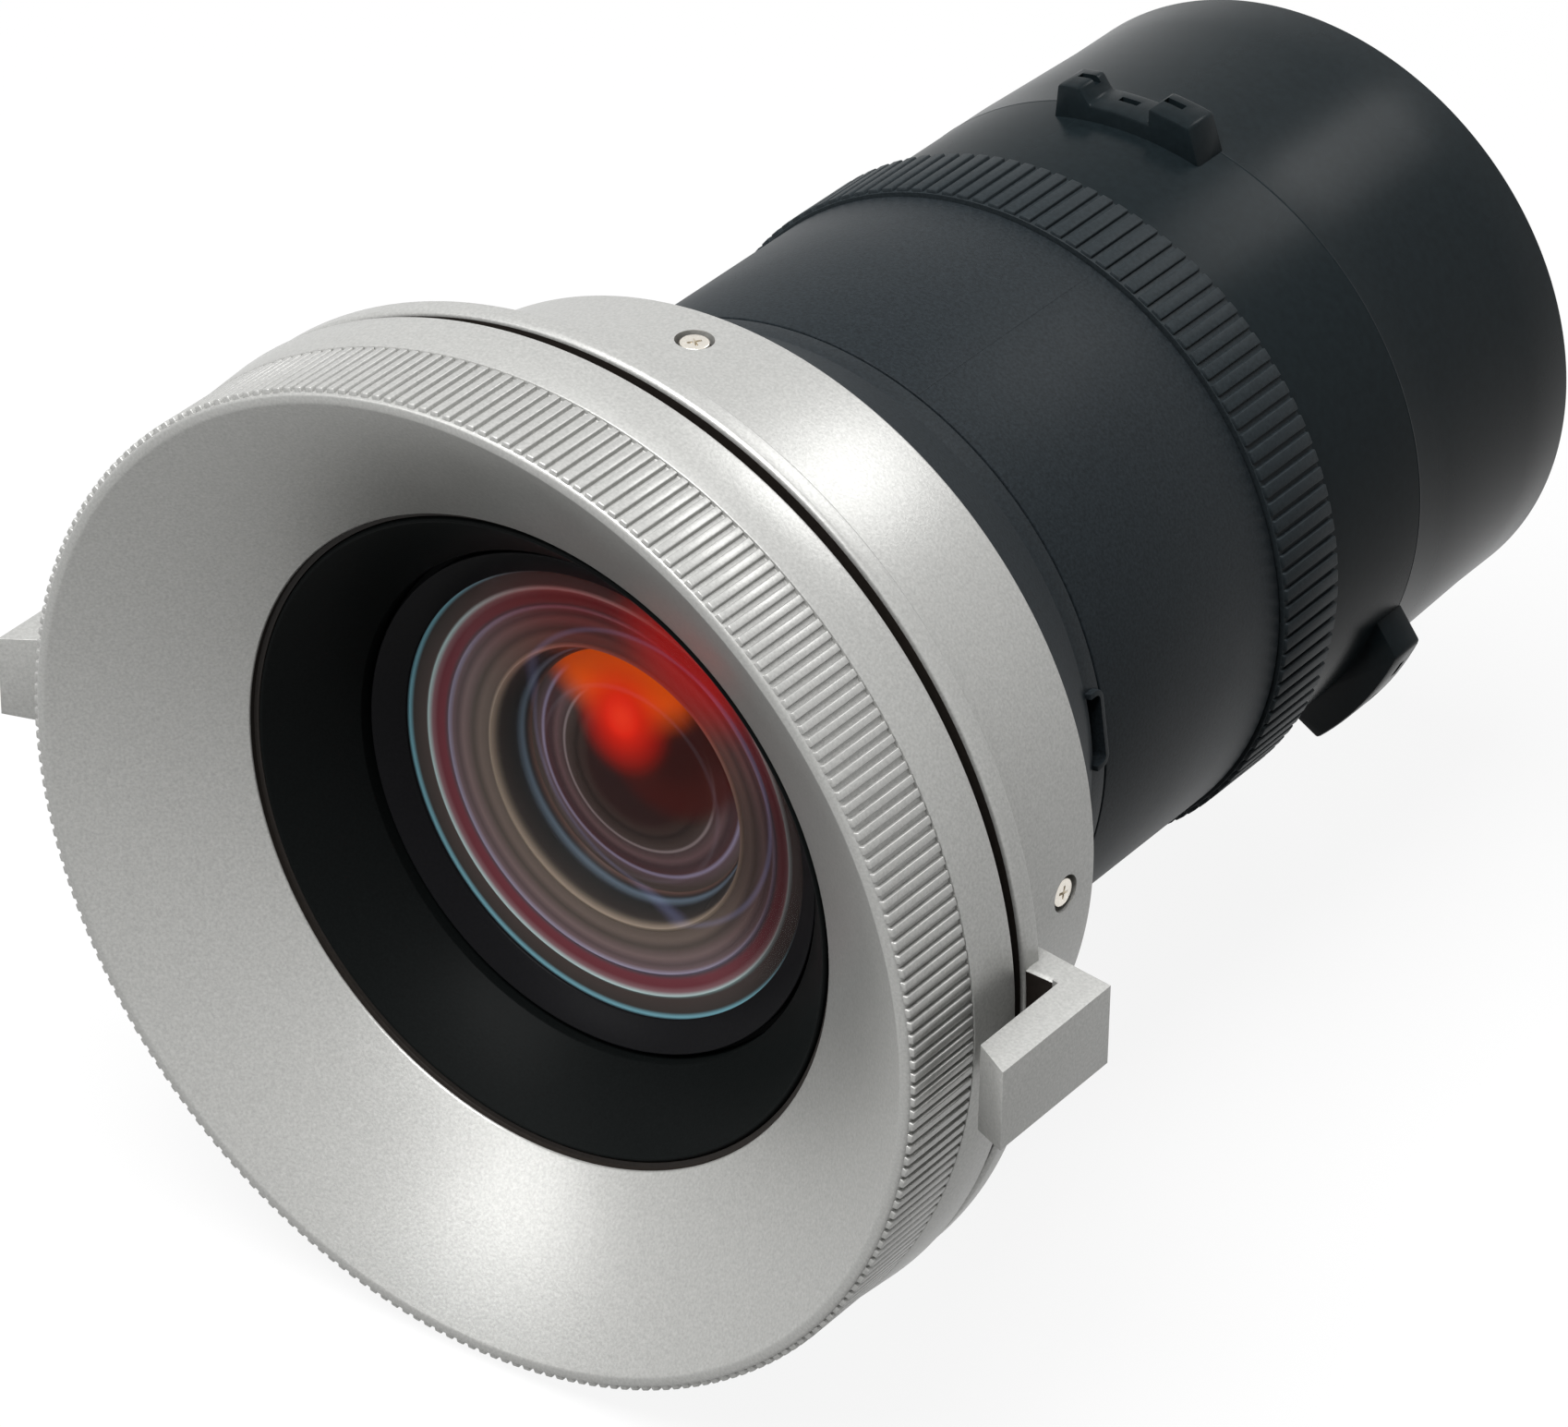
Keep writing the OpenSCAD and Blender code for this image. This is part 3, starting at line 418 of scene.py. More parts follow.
def turned_brass():
    material, nodes, links, shader = new_material("turned_brass")
    shader.inputs["Metallic"].default_value = 1.0
    add_grain(nodes, links, shader, scale=1500, depth=0.8e-5, base=(0.70, 0.52, 0.26),
              spread=0.08, roughness=0.30, rough_spread=0.05)
    return material


def clear_glass(name, tint, coat_tint):
    """Coated glass: clear, with a tinted surface reflection."""
    material, nodes, links, shader = new_material(name)
    shader.inputs["Base Color"].default_value = tint + (1,)
    shader.inputs["Roughness"].default_value = 0.02
    shader.inputs["IOR"].default_value = 1.12
    shader.inputs["Transmission Weight"].default_value = 1.0
    shader.inputs["Coat Weight"].default_value = 0.35
    shader.inputs["Coat Roughness"].default_value = 0.02
    shader.inputs["Coat Tint"].default_value = coat_tint + (1,)
    return material


def dome_glass():
    """The clear front face: almost all light passes and a little is reflected."""
    material, nodes, links, shader = new_material("dome_glass")
    shader.inputs["Base Color"].default_value = (0.01, 0.006, 0.006, 1)
    shader.inputs["Roughness"].default_value = 0.03
    shader.inputs["Specular IOR Level"].default_value = 0.5
    shader.inputs["Alpha"].default_value = 0.04
    return material


def display_colour(red, green, blue):
    """A colour as seen on a screen, 0 to 255, in the shader's linear values."""
    def linear(channel):
        share = channel / 255
        return share / 12.92 if share <= 0.04045 else ((share + 0.055) / 1.055) ** 2.4
    return (linear(red), linear(green), linear(blue), 1)


# The sockets of the Mix node that carry colours
MIX_SHARE, MIX_UNDER, MIX_OVER, MIX_RESULT = 0, 6, 7, 2


class Paint:
    """Builds a pattern across the lens axis, with lengths in millimetres."""

    def __init__(self, nodes, links):
        self.nodes = nodes
        self.links = links
        where = nodes.new("ShaderNodeTexCoord")
        self.place = where.outputs["Object"]

    def calc(self, operation, *values):
        """A Math node fed with numbers or with other nodes' results."""
        node = self.nodes.new("ShaderNodeMath")
        node.operation = operation
        for socket, value in zip(node.inputs, values):
            if isinstance(value, (int, float)):
                socket.default_value = value
            else:
                self.links.new(value, socket)
        return node.outputs[0]

    def distance(self, x, z, stretch=1.0):
        """Distance from a point across the axis, squeezed upwards by stretch."""
        split = self.nodes.new("ShaderNodeSeparateXYZ")
        self.links.new(self.place, split.inputs[0])
        across = self.calc("SUBTRACT", self.calc("DIVIDE", split.outputs["X"], MM), x)
        up = self.calc("SUBTRACT", self.calc("DIVIDE", split.outputs["Z"], MM), z)
        up = self.calc("DIVIDE", up, stretch)
        across_squared = self.calc("MULTIPLY", across, across)
        up_squared = self.calc("MULTIPLY", up, up)
        return self.calc("SQRT", self.calc("ADD", across_squared, up_squared))

    def line(self, x, z, radius, width):
        """A thin ring about a point across the axis, as a share."""
        off = self.calc("ABSOLUTE", self.calc("SUBTRACT", self.distance(x, z), radius))
        return self.fade(off, width, 0.0)

    def fade(self, value, start, end, start_share=0.0, end_share=1.0):
        """A share that changes smoothly between two values."""
        node = self.nodes.new("ShaderNodeMapRange")
        node.interpolation_type = "SMOOTHSTEP"
        self.links.new(value, node.inputs["Value"])
        for name, setting in (("From Min", start), ("From Max", end),
                              ("To Min", start_share), ("To Max", end_share)):
            node.inputs[name].default_value = setting
        return node.outputs["Result"]

    def bands(self, value, reach, stops):
        """Colours by distance, from pairs of a distance and a screen colour."""
        node = self.nodes.new("ShaderNodeValToRGB")
        marks = node.color_ramp.elements
        while len(marks) < len(stops):
            marks.new(1.0)
        for mark, (distance, colour) in zip(marks, stops):
            mark.position = distance / reach
            mark.color = display_colour(*colour)
        self.links.new(self.calc("DIVIDE", value, reach), node.inputs["Fac"])
        return node.outputs["Color"]

    def blend(self, share, under, over, kind="MIX"):
        """Lays a screen colour over another, by a share."""
        node = self.nodes.new("ShaderNodeMix")
        node.data_type = "RGBA"
        node.blend_type = kind
        self.links.new(share, node.inputs[MIX_SHARE])
        self.links.new(under, node.inputs[MIX_UNDER])
        node.inputs[MIX_OVER].default_value = display_colour(*over)
        return node.outputs[MIX_RESULT]

    def wash(self, colour, washes):
        """Lays soft round spots of colour over another, one after the other."""
        for x, z, stretch, edge, full, share, tone, kind in washes:
            spot = self.fade(self.distance(x, z, stretch), edge, full, 0.0, share)
            colour = self.blend(spot, colour, tone, kind)
        return colour


# Colours painted on the glasses, with painted highlights and reflections among them: the
# distance from the axis or centre, and the screen colour
EDGE_REACH, INNER_REACH = 32, 17
# The pale bands at 18.7, 24.3, 27.0 and 29.6 mm are painted highlights on the glass edges.
EDGE_BANDS_AND_HIGHLIGHTS = [
    (16.2, (88, 66, 60)), (16.6, (40, 38, 38)), (16.9, (84, 96, 108)),
    (17.3, (36, 36, 36)), (18.2, (48, 44, 42)), (18.7, (140, 126, 112)),
    (19.2, (84, 74, 68)), (20.3, (96, 84, 78)), (21.2, (70, 62, 58)),
    (22.5, (104, 88, 87)), (23.3, (78, 66, 67)), (23.9, (96, 80, 82)),
    (24.3, (128, 122, 140)), (24.65, (72, 60, 66)),
    (25.1, (98, 50, 56)), (25.9, (92, 46, 52)), (26.6, (112, 84, 88)),
    (27.0, (154, 174, 174)), (27.4, (62, 54, 52)), (29.2, (50, 46, 44)),
    (29.6, (104, 150, 162)), (29.95, (30, 30, 32)), (31.4, (22, 22, 22)),
]
INNER_CENTRE = (0.6, 1.1)
# The pale bands at 11.2 and 14.8 mm are painted reflections of rings.
INNER_BANDS_AND_REFLECTIONS = [
    (0.0, (36, 14, 13)), (7.0, (40, 18, 16)), (8.6, (54, 40, 36)),
    (9.2, (38, 28, 26)), (10.4, (60, 48, 44)), (10.9, (66, 54, 52)),
    (11.2, (128, 114, 114)), (11.5, (68, 54, 54)), (12.6, (92, 70, 72)),
    (13.4, (62, 46, 48)), (14.4, (70, 46, 48)),
    (14.8, (130, 120, 142)), (15.2, (86, 70, 74)), (16.4, (70, 60, 56)),
]
# Reflected rings: centre across and up, radius, width, colour
REFLECTED_RINGS = [
    (4.0, 3.0, 19.6, 0.6, (52, 54, 76)), (-1.0, -2.0, 13.2, 0.5, (40, 36, 42)),
]
# Washes of painted light and shade: centre across and up, stretch, radius of
# the edge, radius inside which it is full, share, colour, kind of blending
# Edges: a painted red reflection towards the top, a painted red spot high on the right, and
# painted shade on the right.
EDGE_PAINTED_LIGHT = [
    (6, 30, 1, 36, 12, 0.85, (255, 112, 110), "MULTIPLY"),
    (12, 23, 1, 13, 3, 0.75, (186, 26, 22), "MIX"),
    (34, -2, 1, 27, 10, 0.75, (120, 76, 74), "MULTIPLY"),
]
# Inner glass: darker patches in the middle and on the right, a painted amber reflection from
# the top and a painted red hot spot.
INNER_PAINTED_LIGHT = [
    (5.7, 6.5, 1, 11.5, 8.5, 0.85, (62, 12, 7), "MIX"),
    (5.7, 6.5, 1, 7.5, 3.0, 0.7, (40, 8, 5), "MIX"),
    (-3, 24, 1, 19.5, 14.0, 1.0, (232, 84, 6), "MIX"),
    (15, 11, 1, 8.5, 4.5, 1.0, (50, 12, 8), "MIX"),
    (-1.6, 7.6, 1.1, 8.0, 1.2, 1.0, (226, 28, 6), "MIX"),
    (-1.6, 7.6, 1.1, 3.2, 0.3, 1.0, (255, 56, 26), "MIX"),
]
# Painted glow: the glass faces give off their painted colour at this strength.
GLASS_GLOW = 0.4


def self_lit_glass(name, roughness):
    """A coated glass face that glows with its painted colour, a painted light that keeps some
    of its colour in the dark barrel.
    """
    material, nodes, links, shader = new_material(name)
    shader.inputs["Roughness"].default_value = roughness
    shader.inputs["Specular IOR Level"].default_value = 0.04
    shader.inputs["Emission Strength"].default_value = GLASS_GLOW
    paint = Paint(nodes, links)

    def connect(colour):
        # The colour feeds the emission too: a painted glow.
        links.new(colour, shader.inputs["Base Color"])
        links.new(colour, shader.inputs["Emission Color"])
        return material
    return paint, connect


def add_reflected_rings(paint, colour):
    """Rings reflected off centre, the same on every glass face."""
    for x, z, radius, width, tone in REFLECTED_RINGS:
        colour = paint.blend(paint.line(x, z, radius, width), colour, tone, "SCREEN")
    return colour


def glass_edges():
    """Thin edges of the glasses with painted highlights, redder towards the top from a
    painted reflection and darker on the right from painted shade.
    """
    paint, connect = self_lit_glass("glass_edges", 0.25)
    colour = paint.bands(paint.distance(0, 0), EDGE_REACH, EDGE_BANDS_AND_HIGHLIGHTS)
    colour = paint.wash(colour, EDGE_PAINTED_LIGHT)
    return connect(add_reflected_rings(paint, colour))


def inner_glass_reflections():
    """The inner glass: painted ring reflections, a painted amber reflection of the sky and
    one painted red hot spot.
    """
    paint, connect = self_lit_glass("inner_glass_reflections", 0.2)
    colour = paint.bands(paint.distance(*INNER_CENTRE), INNER_REACH, INNER_BANDS_AND_REFLECTIONS)
    colour = paint.wash(colour, INNER_PAINTED_LIGHT)
    return connect(add_reflected_rings(paint, colour))


SILVER = silver_paint()
UNPAINTED = unpainted()
BLACK = black_satin()
KNURL = black_knurl()
COVER = black_cover()
MATTE = matte_black()
GREY = dark_grey()
NICKEL = nickel()
BRASS = turned_brass()
GLASS = clear_glass("coated_glass", (0.90, 0.93, 0.93), (0.8, 0.9, 1.0))
DOME = dome_glass()
EDGES = glass_edges()
# Painted reflections and the painted hot spot of the inner glass.
INNER_REFLECTIONS = inner_glass_reflections()


def paint_inside(piece, material, test):
    """Gives the faces whose radius and distance pass a test a second material."""
    piece.data.materials.append(material)
    inner = len(piece.data.materials) - 1
    for face in piece.data.polygons:
        radius = math.hypot(face.center.x, face.center.z) / MM
        distance = face.center.y / MM + RIM_TO_LUGS
        if test(radius, distance):
            face.material_index = inner


def finish_piece(piece, body, material, slot, *nodes):
    """Puts a piece on its body, in its material, in the place of its nodes."""
    piece.data.materials.clear()
    piece.data.materials.append(material)
    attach(piece, body)
    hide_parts(*nodes)


# Focus ring: a funnel, ribs and a plain band round it, and a hub behind
FOCUS_R, FOCUS_LEN = 65.2, 19.5
BAND_R, BAND_EDGE = 65.8, 0.4
FUNNEL_R, MOUTH_R, FUNNEL_DEPTH = 63.3, 43.1, 14.2
FUNNEL_BACK_R, FUNNEL_BACK_Y = 62.25, 3.3
RIM_EDGE, RIM_EDGE_LEN = 0.25, 0.35
FOCUS_HUB_R, FOCUS_HUB_FRONT, FOCUS_HUB_REAR = 44.88, 15.52, 26.8
FOCUS_BORE_R, FOCUS_BORE_FRONT = 42.38, 15.1
RIB_COUNT, RIB_H, RIB_SUNK = 240, 0.55, 0.4
RIB_START, RIB_END, BAND_STEP = 0.25, 11.9, 0.06
RIB_TOP_SHARE, RIB_FOOT_SHARE, RIB_TAPER = 0.56, 0.78, 0.985
UNPAINTED_R, PAINT_DEPTH = 62.6, 0.35


def behind_paint(radius, distance):
    """True on the faces of the focus ring that the paint doesn't reach."""
    funnel = (FUNNEL_R - radius) * FUNNEL_DEPTH / (FUNNEL_R - MOUTH_R)
    rear_face = distance > FOCUS_LEN - 0.2 and radius < BAND_R - 0.6
    return rear_face or radius < UNPAINTED_R and distance - funnel > PAINT_DEPTH


def make_rib():
    """One rib at +X, narrower at its top than at its foot."""
    pitch = math.tau * FOCUS_R / RIB_COUNT
    height = RIB_H + RIB_SUNK
    rib = block((height, RIB_END - RIB_START, pitch * RIB_FOOT_SHARE),
                (FOCUS_R - height / 2, (RIB_END + RIB_START) / 2, 0))
    edit(rib)
    select_where(rib, lambda co: co.x > (FOCUS_R - 0.1) * MM)
    bpy.ops.transform.resize(value=(1, RIB_TAPER, RIB_TOP_SHARE / RIB_FOOT_SHARE))
    leave_edit()
    bevel(rib, 0.12)
    return rib


def make_focus_ring():
    rib_base = FOCUS_R - RIB_H
    body = turned("focus_body", [
        (MOUTH_R, FUNNEL_DEPTH), (FUNNEL_R, 0),
        (rib_base - RIM_EDGE, 0), (rib_base, RIM_EDGE_LEN),
        (rib_base, RIB_END), (FOCUS_R + BAND_STEP, RIB_END),
        (BAND_R, FOCUS_LEN - BAND_EDGE), (BAND_R - BAND_EDGE, FOCUS_LEN),
        (FUNNEL_BACK_R, FOCUS_LEN), (FUNNEL_BACK_R, FUNNEL_BACK_Y),
        (FOCUS_HUB_R, FOCUS_HUB_FRONT), (FOCUS_HUB_R, FOCUS_HUB_REAR),
        (FOCUS_BORE_R, FOCUS_HUB_REAR), (FOCUS_BORE_R, FOCUS_BORE_FRONT),
        (MOUTH_R, FOCUS_BORE_FRONT),
    ], rounding=0.2)
    ribs = make_rib()
    ring_of(ribs, RIB_COUNT)
    smooth(ribs, 50)
    piece = join("silver_focus_ring", [body, ribs])
    finish_piece(piece, "focus_ring", SILVER, "silver_paint", "focus_ring")
    paint_inside(piece, UNPAINTED, behind_paint)


# Lever ring: a flange with two arms, each with a block beside the focus ring
LEVER_R, LEVER_EDGE = 65.5, 0.4
LEVER_FRONT, LEVER_REAR = 21.6, 24.8
LEVER_BORE_R, LEVER_HUB_R, LEVER_HUB_REAR = 46.94, 49.54, 40.4
RECESS_R, RECESS_Y = 54.5, 23.4
ARM_ROOT, ARM_FRONT, ARM_REAR = 56.1, 21.9, 25.7
ARM_FRONT_H, ARM_REAR_H = 11.5, 15.2
TAB_IN, TAB_OUT, TAB_EDGE = 69.6, 74.3, 0.8
TAB_FRONT, TAB_SLANT = 4.3, 2.3
TAB_H, TAB_IN_H = 10.8, 11.9
TAB_TURNS = (-0.9, 179.1)


def make_finger_block():
    """The block that lies beside the focus ring, thinner towards its outside."""
    inner = TAB_IN - TAB_EDGE
    plan = [
        (inner, ARM_FRONT), (TAB_IN, ARM_FRONT), (TAB_IN, TAB_FRONT + TAB_SLANT),
        (TAB_OUT, TAB_FRONT), (TAB_OUT, ARM_REAR), (inner, ARM_REAR),
    ]
    half = TAB_IN_H / 2 * MM
    tab = prism("tab", [(x * MM, place(y), -half) for x, y in plan], (0, 0, 2 * half))
    edit(tab)
    for reach in (TAB_IN, TAB_OUT):
        share = (reach - inner) / (TAB_OUT - inner)
        thinner = 1 - share * (1 - TAB_H / TAB_IN_H)
        select_where(tab, lambda co: abs(co.x - reach * MM) < MERGE_DISTANCE)
        bpy.ops.transform.resize(value=(1, 1, thinner), center_override=(0, 0, 0))
    leave_edit()
    return tab


def make_arm():
    """The arm that carries the block, flared towards the ring and the rear."""
    tip = TAB_OUT - TAB_EDGE
    plan = [(ARM_ROOT, ARM_FRONT), (tip, ARM_FRONT), (tip, ARM_REAR), (ARM_ROOT, ARM_REAR)]
    half = TAB_H / 2 * MM
    arm = prism("arm", [(x * MM, place(y), -half) for x, y in plan], (0, 0, 2 * half))
    middle_x = (ARM_ROOT + tip) / 2 * MM
    middle_y = place((ARM_FRONT + ARM_REAR) / 2)
    edit(arm)
    for at_rear, height in ((False, ARM_FRONT_H), (True, ARM_REAR_H)):
        select_where(arm, lambda co: co.x < middle_x and (co.y > middle_y) == at_rear)
        bpy.ops.transform.resize(value=(1, 1, height / TAB_H), center_override=(0, 0, 0))
    leave_edit()
    return arm


def make_tab():
    """A finger tab at +X: the block and its arm in one."""
    tab = make_finger_block()
    cut_with(tab, make_arm(), "UNION")
    recalc(tab)
    bevel(tab, 0.6, 3)
    smooth(tab, 40)
    return settle(tab, "tab")


def lever_behind_paint(radius, distance):
    """True on the lever ring's front face, bore and recess."""
    front_face = radius < LEVER_R - 0.7 and distance < LEVER_FRONT + 0.4
    return front_face or radius < RECESS_R + 0.1


def make_lever_ring():
    ring = turned("lever_body", [
        (LEVER_BORE_R, LEVER_FRONT), (64.9, LEVER_FRONT), (65.3, 21.75), (LEVER_R, 22.2),
        (LEVER_R, LEVER_REAR - LEVER_EDGE), (LEVER_R - LEVER_EDGE, LEVER_REAR),
        (ARM_ROOT, LEVER_REAR), (RECESS_R, RECESS_Y), (LEVER_HUB_R, RECESS_Y),
        (LEVER_HUB_R, LEVER_HUB_REAR), (LEVER_BORE_R, LEVER_HUB_REAR),
    ], rounding=0.12)
    tab = make_tab()
    pieces = [ring]
    for index, degrees in enumerate(TAB_TURNS):
        twin = copy_of(tab, f"tab_{index}")
        turn_about_axis(twin, degrees)
        pieces.append(twin)
    bpy.data.objects.remove(tab, do_unlink=True)
    piece = join("silver_lever_ring", pieces)
    finish_piece(piece, "zoom_ring", SILVER, "silver_paint", "lever_ring")
    paint_inside(piece, UNPAINTED, lever_behind_paint)


# Collar and its four screws, which lie in shallow round seats
COLLAR_FRONT_R, COLLAR_REAR_R, COLLAR_EDGE = 55.8, 54.8, 0.4
COLLAR_FRONT, COLLAR_REAR = 25.1, 51.4
COLLAR_BORE_FRONT_R, COLLAR_BORE_REAR_R = 52.4, 51.4
SCREW_Y = 44.9
SCREW_TOP_R, SCREW_FLOOR_R = 54.75, 53.45
SCREW_HEAD_R, SCREW_SEAT_R, SCREW_SEAT_TOP = 1.85, 2.4, 58
SHANK_R, SHANK_END_R = 1.0, 46.45
CROSS_LEN, CROSS_W, CROSS_DEPTH = 2.2, 0.46, 0.95
CROSS_FOOT_SHARE = 0.45
CROSS_FIRST_TURN, CROSS_NEXT_TURN = 12, 23
SCREW_ANGLES = (-1.3, 88.7, 178.7, 268.7)


def make_collar():
    ring = turned("silver_collar", [
        (COLLAR_BORE_FRONT_R, COLLAR_FRONT), (COLLAR_FRONT_R - COLLAR_EDGE, COLLAR_FRONT),
        (COLLAR_FRONT_R, COLLAR_FRONT + COLLAR_EDGE),
        (COLLAR_REAR_R, COLLAR_REAR - COLLAR_EDGE),
        (COLLAR_REAR_R - COLLAR_EDGE, COLLAR_REAR), (COLLAR_BORE_REAR_R, COLLAR_REAR),
    ], rounding=0.16)
    for degrees in SCREW_ANGLES:
        seat = radial_cylinder(SCREW_SEAT_R, SCREW_FLOOR_R, SCREW_SEAT_TOP, SCREW_Y)
        turn_about_axis(seat, degrees)
        cut_with(ring, seat)
    smooth(ring)
    finish_piece(ring, "barrel", SILVER, "silver_paint", "collar")
    paint_inside(ring, UNPAINTED, lambda radius, distance: radius < COLLAR_REAR_R - 1)


def make_screw():
    """A small flat head with a cross recess, at +X."""
    head = radial_cylinder(SCREW_HEAD_R, SCREW_FLOOR_R, SCREW_TOP_R, SCREW_Y)
    bevel(head, 0.22, 3, 35)
    for size in ((CROSS_DEPTH, CROSS_LEN, CROSS_W), (CROSS_DEPTH, CROSS_W, CROSS_LEN)):
        wing = block(size, (SCREW_TOP_R - 0.2, SCREW_Y, 0))
        edit(wing)
        select_where(wing, lambda co: co.x < (SCREW_TOP_R - 0.3) * MM)
        bpy.ops.transform.resize(
            value=(1, CROSS_FOOT_SHARE, CROSS_FOOT_SHARE),
            center_override=(SCREW_TOP_R * MM, place(SCREW_Y), 0),
        )
        leave_edit()
        cut_with(head, wing)
    shank = radial_cylinder(SHANK_R, SHANK_END_R, SCREW_FLOOR_R + 0.1, SCREW_Y, 32)
    return join("screw", [head, shank])


def make_screws():
    """The four screws, each with its cross turned another way."""
    screw = make_screw()
    smooth(screw, 40)
    pieces = []
    for index, degrees in enumerate(SCREW_ANGLES):
        piece = copy_of(screw, f"screw_{index}")
        make_active(piece)
        bpy.ops.transform.rotate(
            value=math.radians(CROSS_NEXT_TURN * index + CROSS_FIRST_TURN), orient_axis="X",
            center_override=(0, place(SCREW_Y), 0),
        )
        bpy.ops.object.transform_apply(location=True, rotation=True, scale=True)
        turn_about_axis(piece, degrees)
        pieces.append(piece)
    bpy.data.objects.remove(screw, do_unlink=True)
    piece = join("nickel_collar_screws", pieces)
    finish_piece(piece, "barrel", NICKEL, "nickel", "collar_screws")


def make_guide_ring():
    """The ring inside the collar that the collar's screws hold."""
    piece = turned("grey_guide_ring", [
        (44.94, 19.6), (46.84, 19.6), (46.84, 41.0), (51.6, 41.0), (51.3, 48.7),
        (41.3, 48.7), (41.3, 29.4), (44.94, 29.4),
    ], rounding=0.1)
    finish_piece(piece, "barrel", GREY, "dark_grey", "guide_ring")


# Skirt with its latch window, and main barrel
BARREL_R, BARREL_BORE_R = 44.1, 41.18
SKIRT_FRONT, SKIRT_REAR = 48.85, 69.0
SPIGOT_R, SPIGOT_FRONT, SPIGOT_REAR = 42.9, 106.9, 119.2
COVER_SEAT_R, BARREL_END = 41.1, 124.1
FIXED_BORE_R, FIXED_BORE_FRONT = 38.58, 100.4
WINDOW_ANGLE, WINDOW_Y = 7.5, 67.3
WINDOW_LEN, WINDOW_W, WINDOW_CORNER = 9.0, 1.9, 0.8
WINDOW_DEPTH, CUTTER_LEN = 1.6, 4
RIM_W, RIM_H, RIM_FOOT_R = 0.75, 0.5, 42.3
CORNER_STEPS = 6
PARTING_ANGLE = 69
PARTING_SIZE, PARTING_SUNK, PARTING_Y = (0.2, 37, 0.12), 0.07, 88


def window_outline(extra, radius):
    """Points of the window seen from +X: straight in front, rounded behind."""
    corner = WINDOW_CORNER + extra
    back = WINDOW_W / 2 - WINDOW_CORNER
    side = WINDOW_LEN / 2 - WINDOW_CORNER
    points = [(-WINDOW_W / 2, -side - corner)]
    for start, centre in ((-90, -side), (0, side)):
        for step in range(CORNER_STEPS + 1):
            turn = math.radians(start + 90 / CORNER_STEPS * step)
            points.append((back + corner * math.cos(turn), centre + corner * math.sin(turn)))
    points.append((-WINDOW_W / 2, side + corner))
    return [(radius * MM, place(WINDOW_Y + across), along * MM) for across, along in points]


def make_skirt():
    ring = turned("black_skirt", [
        (BARREL_BORE_R, SKIRT_FRONT), (43.38, SKIRT_FRONT), (43.38, 61.75), (49.1, 50.8),
        (49.1, SKIRT_FRONT), (51.3, SKIRT_FRONT), (51.3, 51.9), (BARREL_R, 66.15),
        (BARREL_R, SKIRT_REAR), (BARREL_BORE_R, SKIRT_REAR),
    ], rounding=0.15)
    rim_height = BARREL_R + RIM_H - RIM_FOOT_R
    rim = prism("rim", window_outline(RIM_W, RIM_FOOT_R), (rim_height * MM, 0, 0))
    recalc(rim)
    bevel(rim, 0.18, 2, 40)
    floor = BARREL_R - WINDOW_DEPTH
    hole = prism("hole", window_outline(0, floor), (CUTTER_LEN * MM, 0, 0))
    recalc(hole)
    turn_about_axis(rim, WINDOW_ANGLE)
    turn_about_axis(hole, WINDOW_ANGLE)
    cut_with(ring, rim, "UNION")
    cut_with(ring, hole)
    smooth(ring)
    finish_piece(ring, "barrel", BLACK, "black_satin", "skirt")


def make_main_barrel():
    body = turned("barrel_body", [
        (BARREL_BORE_R, SKIRT_REAR), (SPIGOT_R, SKIRT_REAR), (SPIGOT_R, 69.25), (44.0, 69.3),
        (BARREL_R, 69.4), (BARREL_R, SPIGOT_FRONT),
        (SPIGOT_R, SPIGOT_FRONT), (SPIGOT_R, SPIGOT_REAR),
        (COVER_SEAT_R, SPIGOT_REAR), (COVER_SEAT_R, BARREL_END),
        (FIXED_BORE_R, BARREL_END), (FIXED_BORE_R, FIXED_BORE_FRONT),
        (BARREL_BORE_R, FIXED_BORE_FRONT),
    ], rounding=0.1)
    parting_line = block(PARTING_SIZE, (BARREL_R - PARTING_SUNK, PARTING_Y, 0))
    turn_about_axis(parting_line, PARTING_ANGLE)
    piece = join("black_barrel", [body, parting_line])
    finish_piece(piece, "barrel", BLACK, "black_satin", "main_barrel")


# Knurled ring
KNURL_R, KNURL_BORE_R = 45.0, 42.98
KNURL_FOOT_R, KNURL_EDGE = 44.55, 0.1
KNURL_FRONT, KNURL_REAR = 107.4, 119.0
KNURL_COUNT, KNURL_GAP = 120, 0.55
PAD_H, PAD_LEN, PAD_Y = 0.75, 11.5, 113.2
PAD_TAPER, PAD_TOP_SHARE = 0.985, 0.86


def make_knurled_ring():
    ring = turned("knurl_body", [
        (KNURL_BORE_R, KNURL_FRONT), (KNURL_FOOT_R - KNURL_EDGE, KNURL_FRONT),
        (KNURL_FOOT_R, KNURL_FRONT + KNURL_EDGE), (KNURL_FOOT_R, KNURL_REAR - KNURL_EDGE),
        (KNURL_FOOT_R - KNURL_EDGE, KNURL_REAR), (KNURL_BORE_R, KNURL_REAR),
    ])
    pitch = math.tau * KNURL_R / KNURL_COUNT
    pad = block((PAD_H, PAD_LEN, pitch - KNURL_GAP), (KNURL_R - PAD_H / 2, PAD_Y, 0))
    edit(pad)
    select_where(pad, lambda co: co.x > (KNURL_R - 0.1) * MM)
    bpy.ops.transform.resize(value=(1, PAD_TAPER, PAD_TOP_SHARE))
    leave_edit()
    bevel(pad, 0.13)
    ring_of(pad, KNURL_COUNT)
    smooth(pad, 50)
    piece = join("black_knurled_ring", [ring, pad])
    finish_piece(piece, "curvature_ring", KNURL, "black_satin", "knurled_ring")


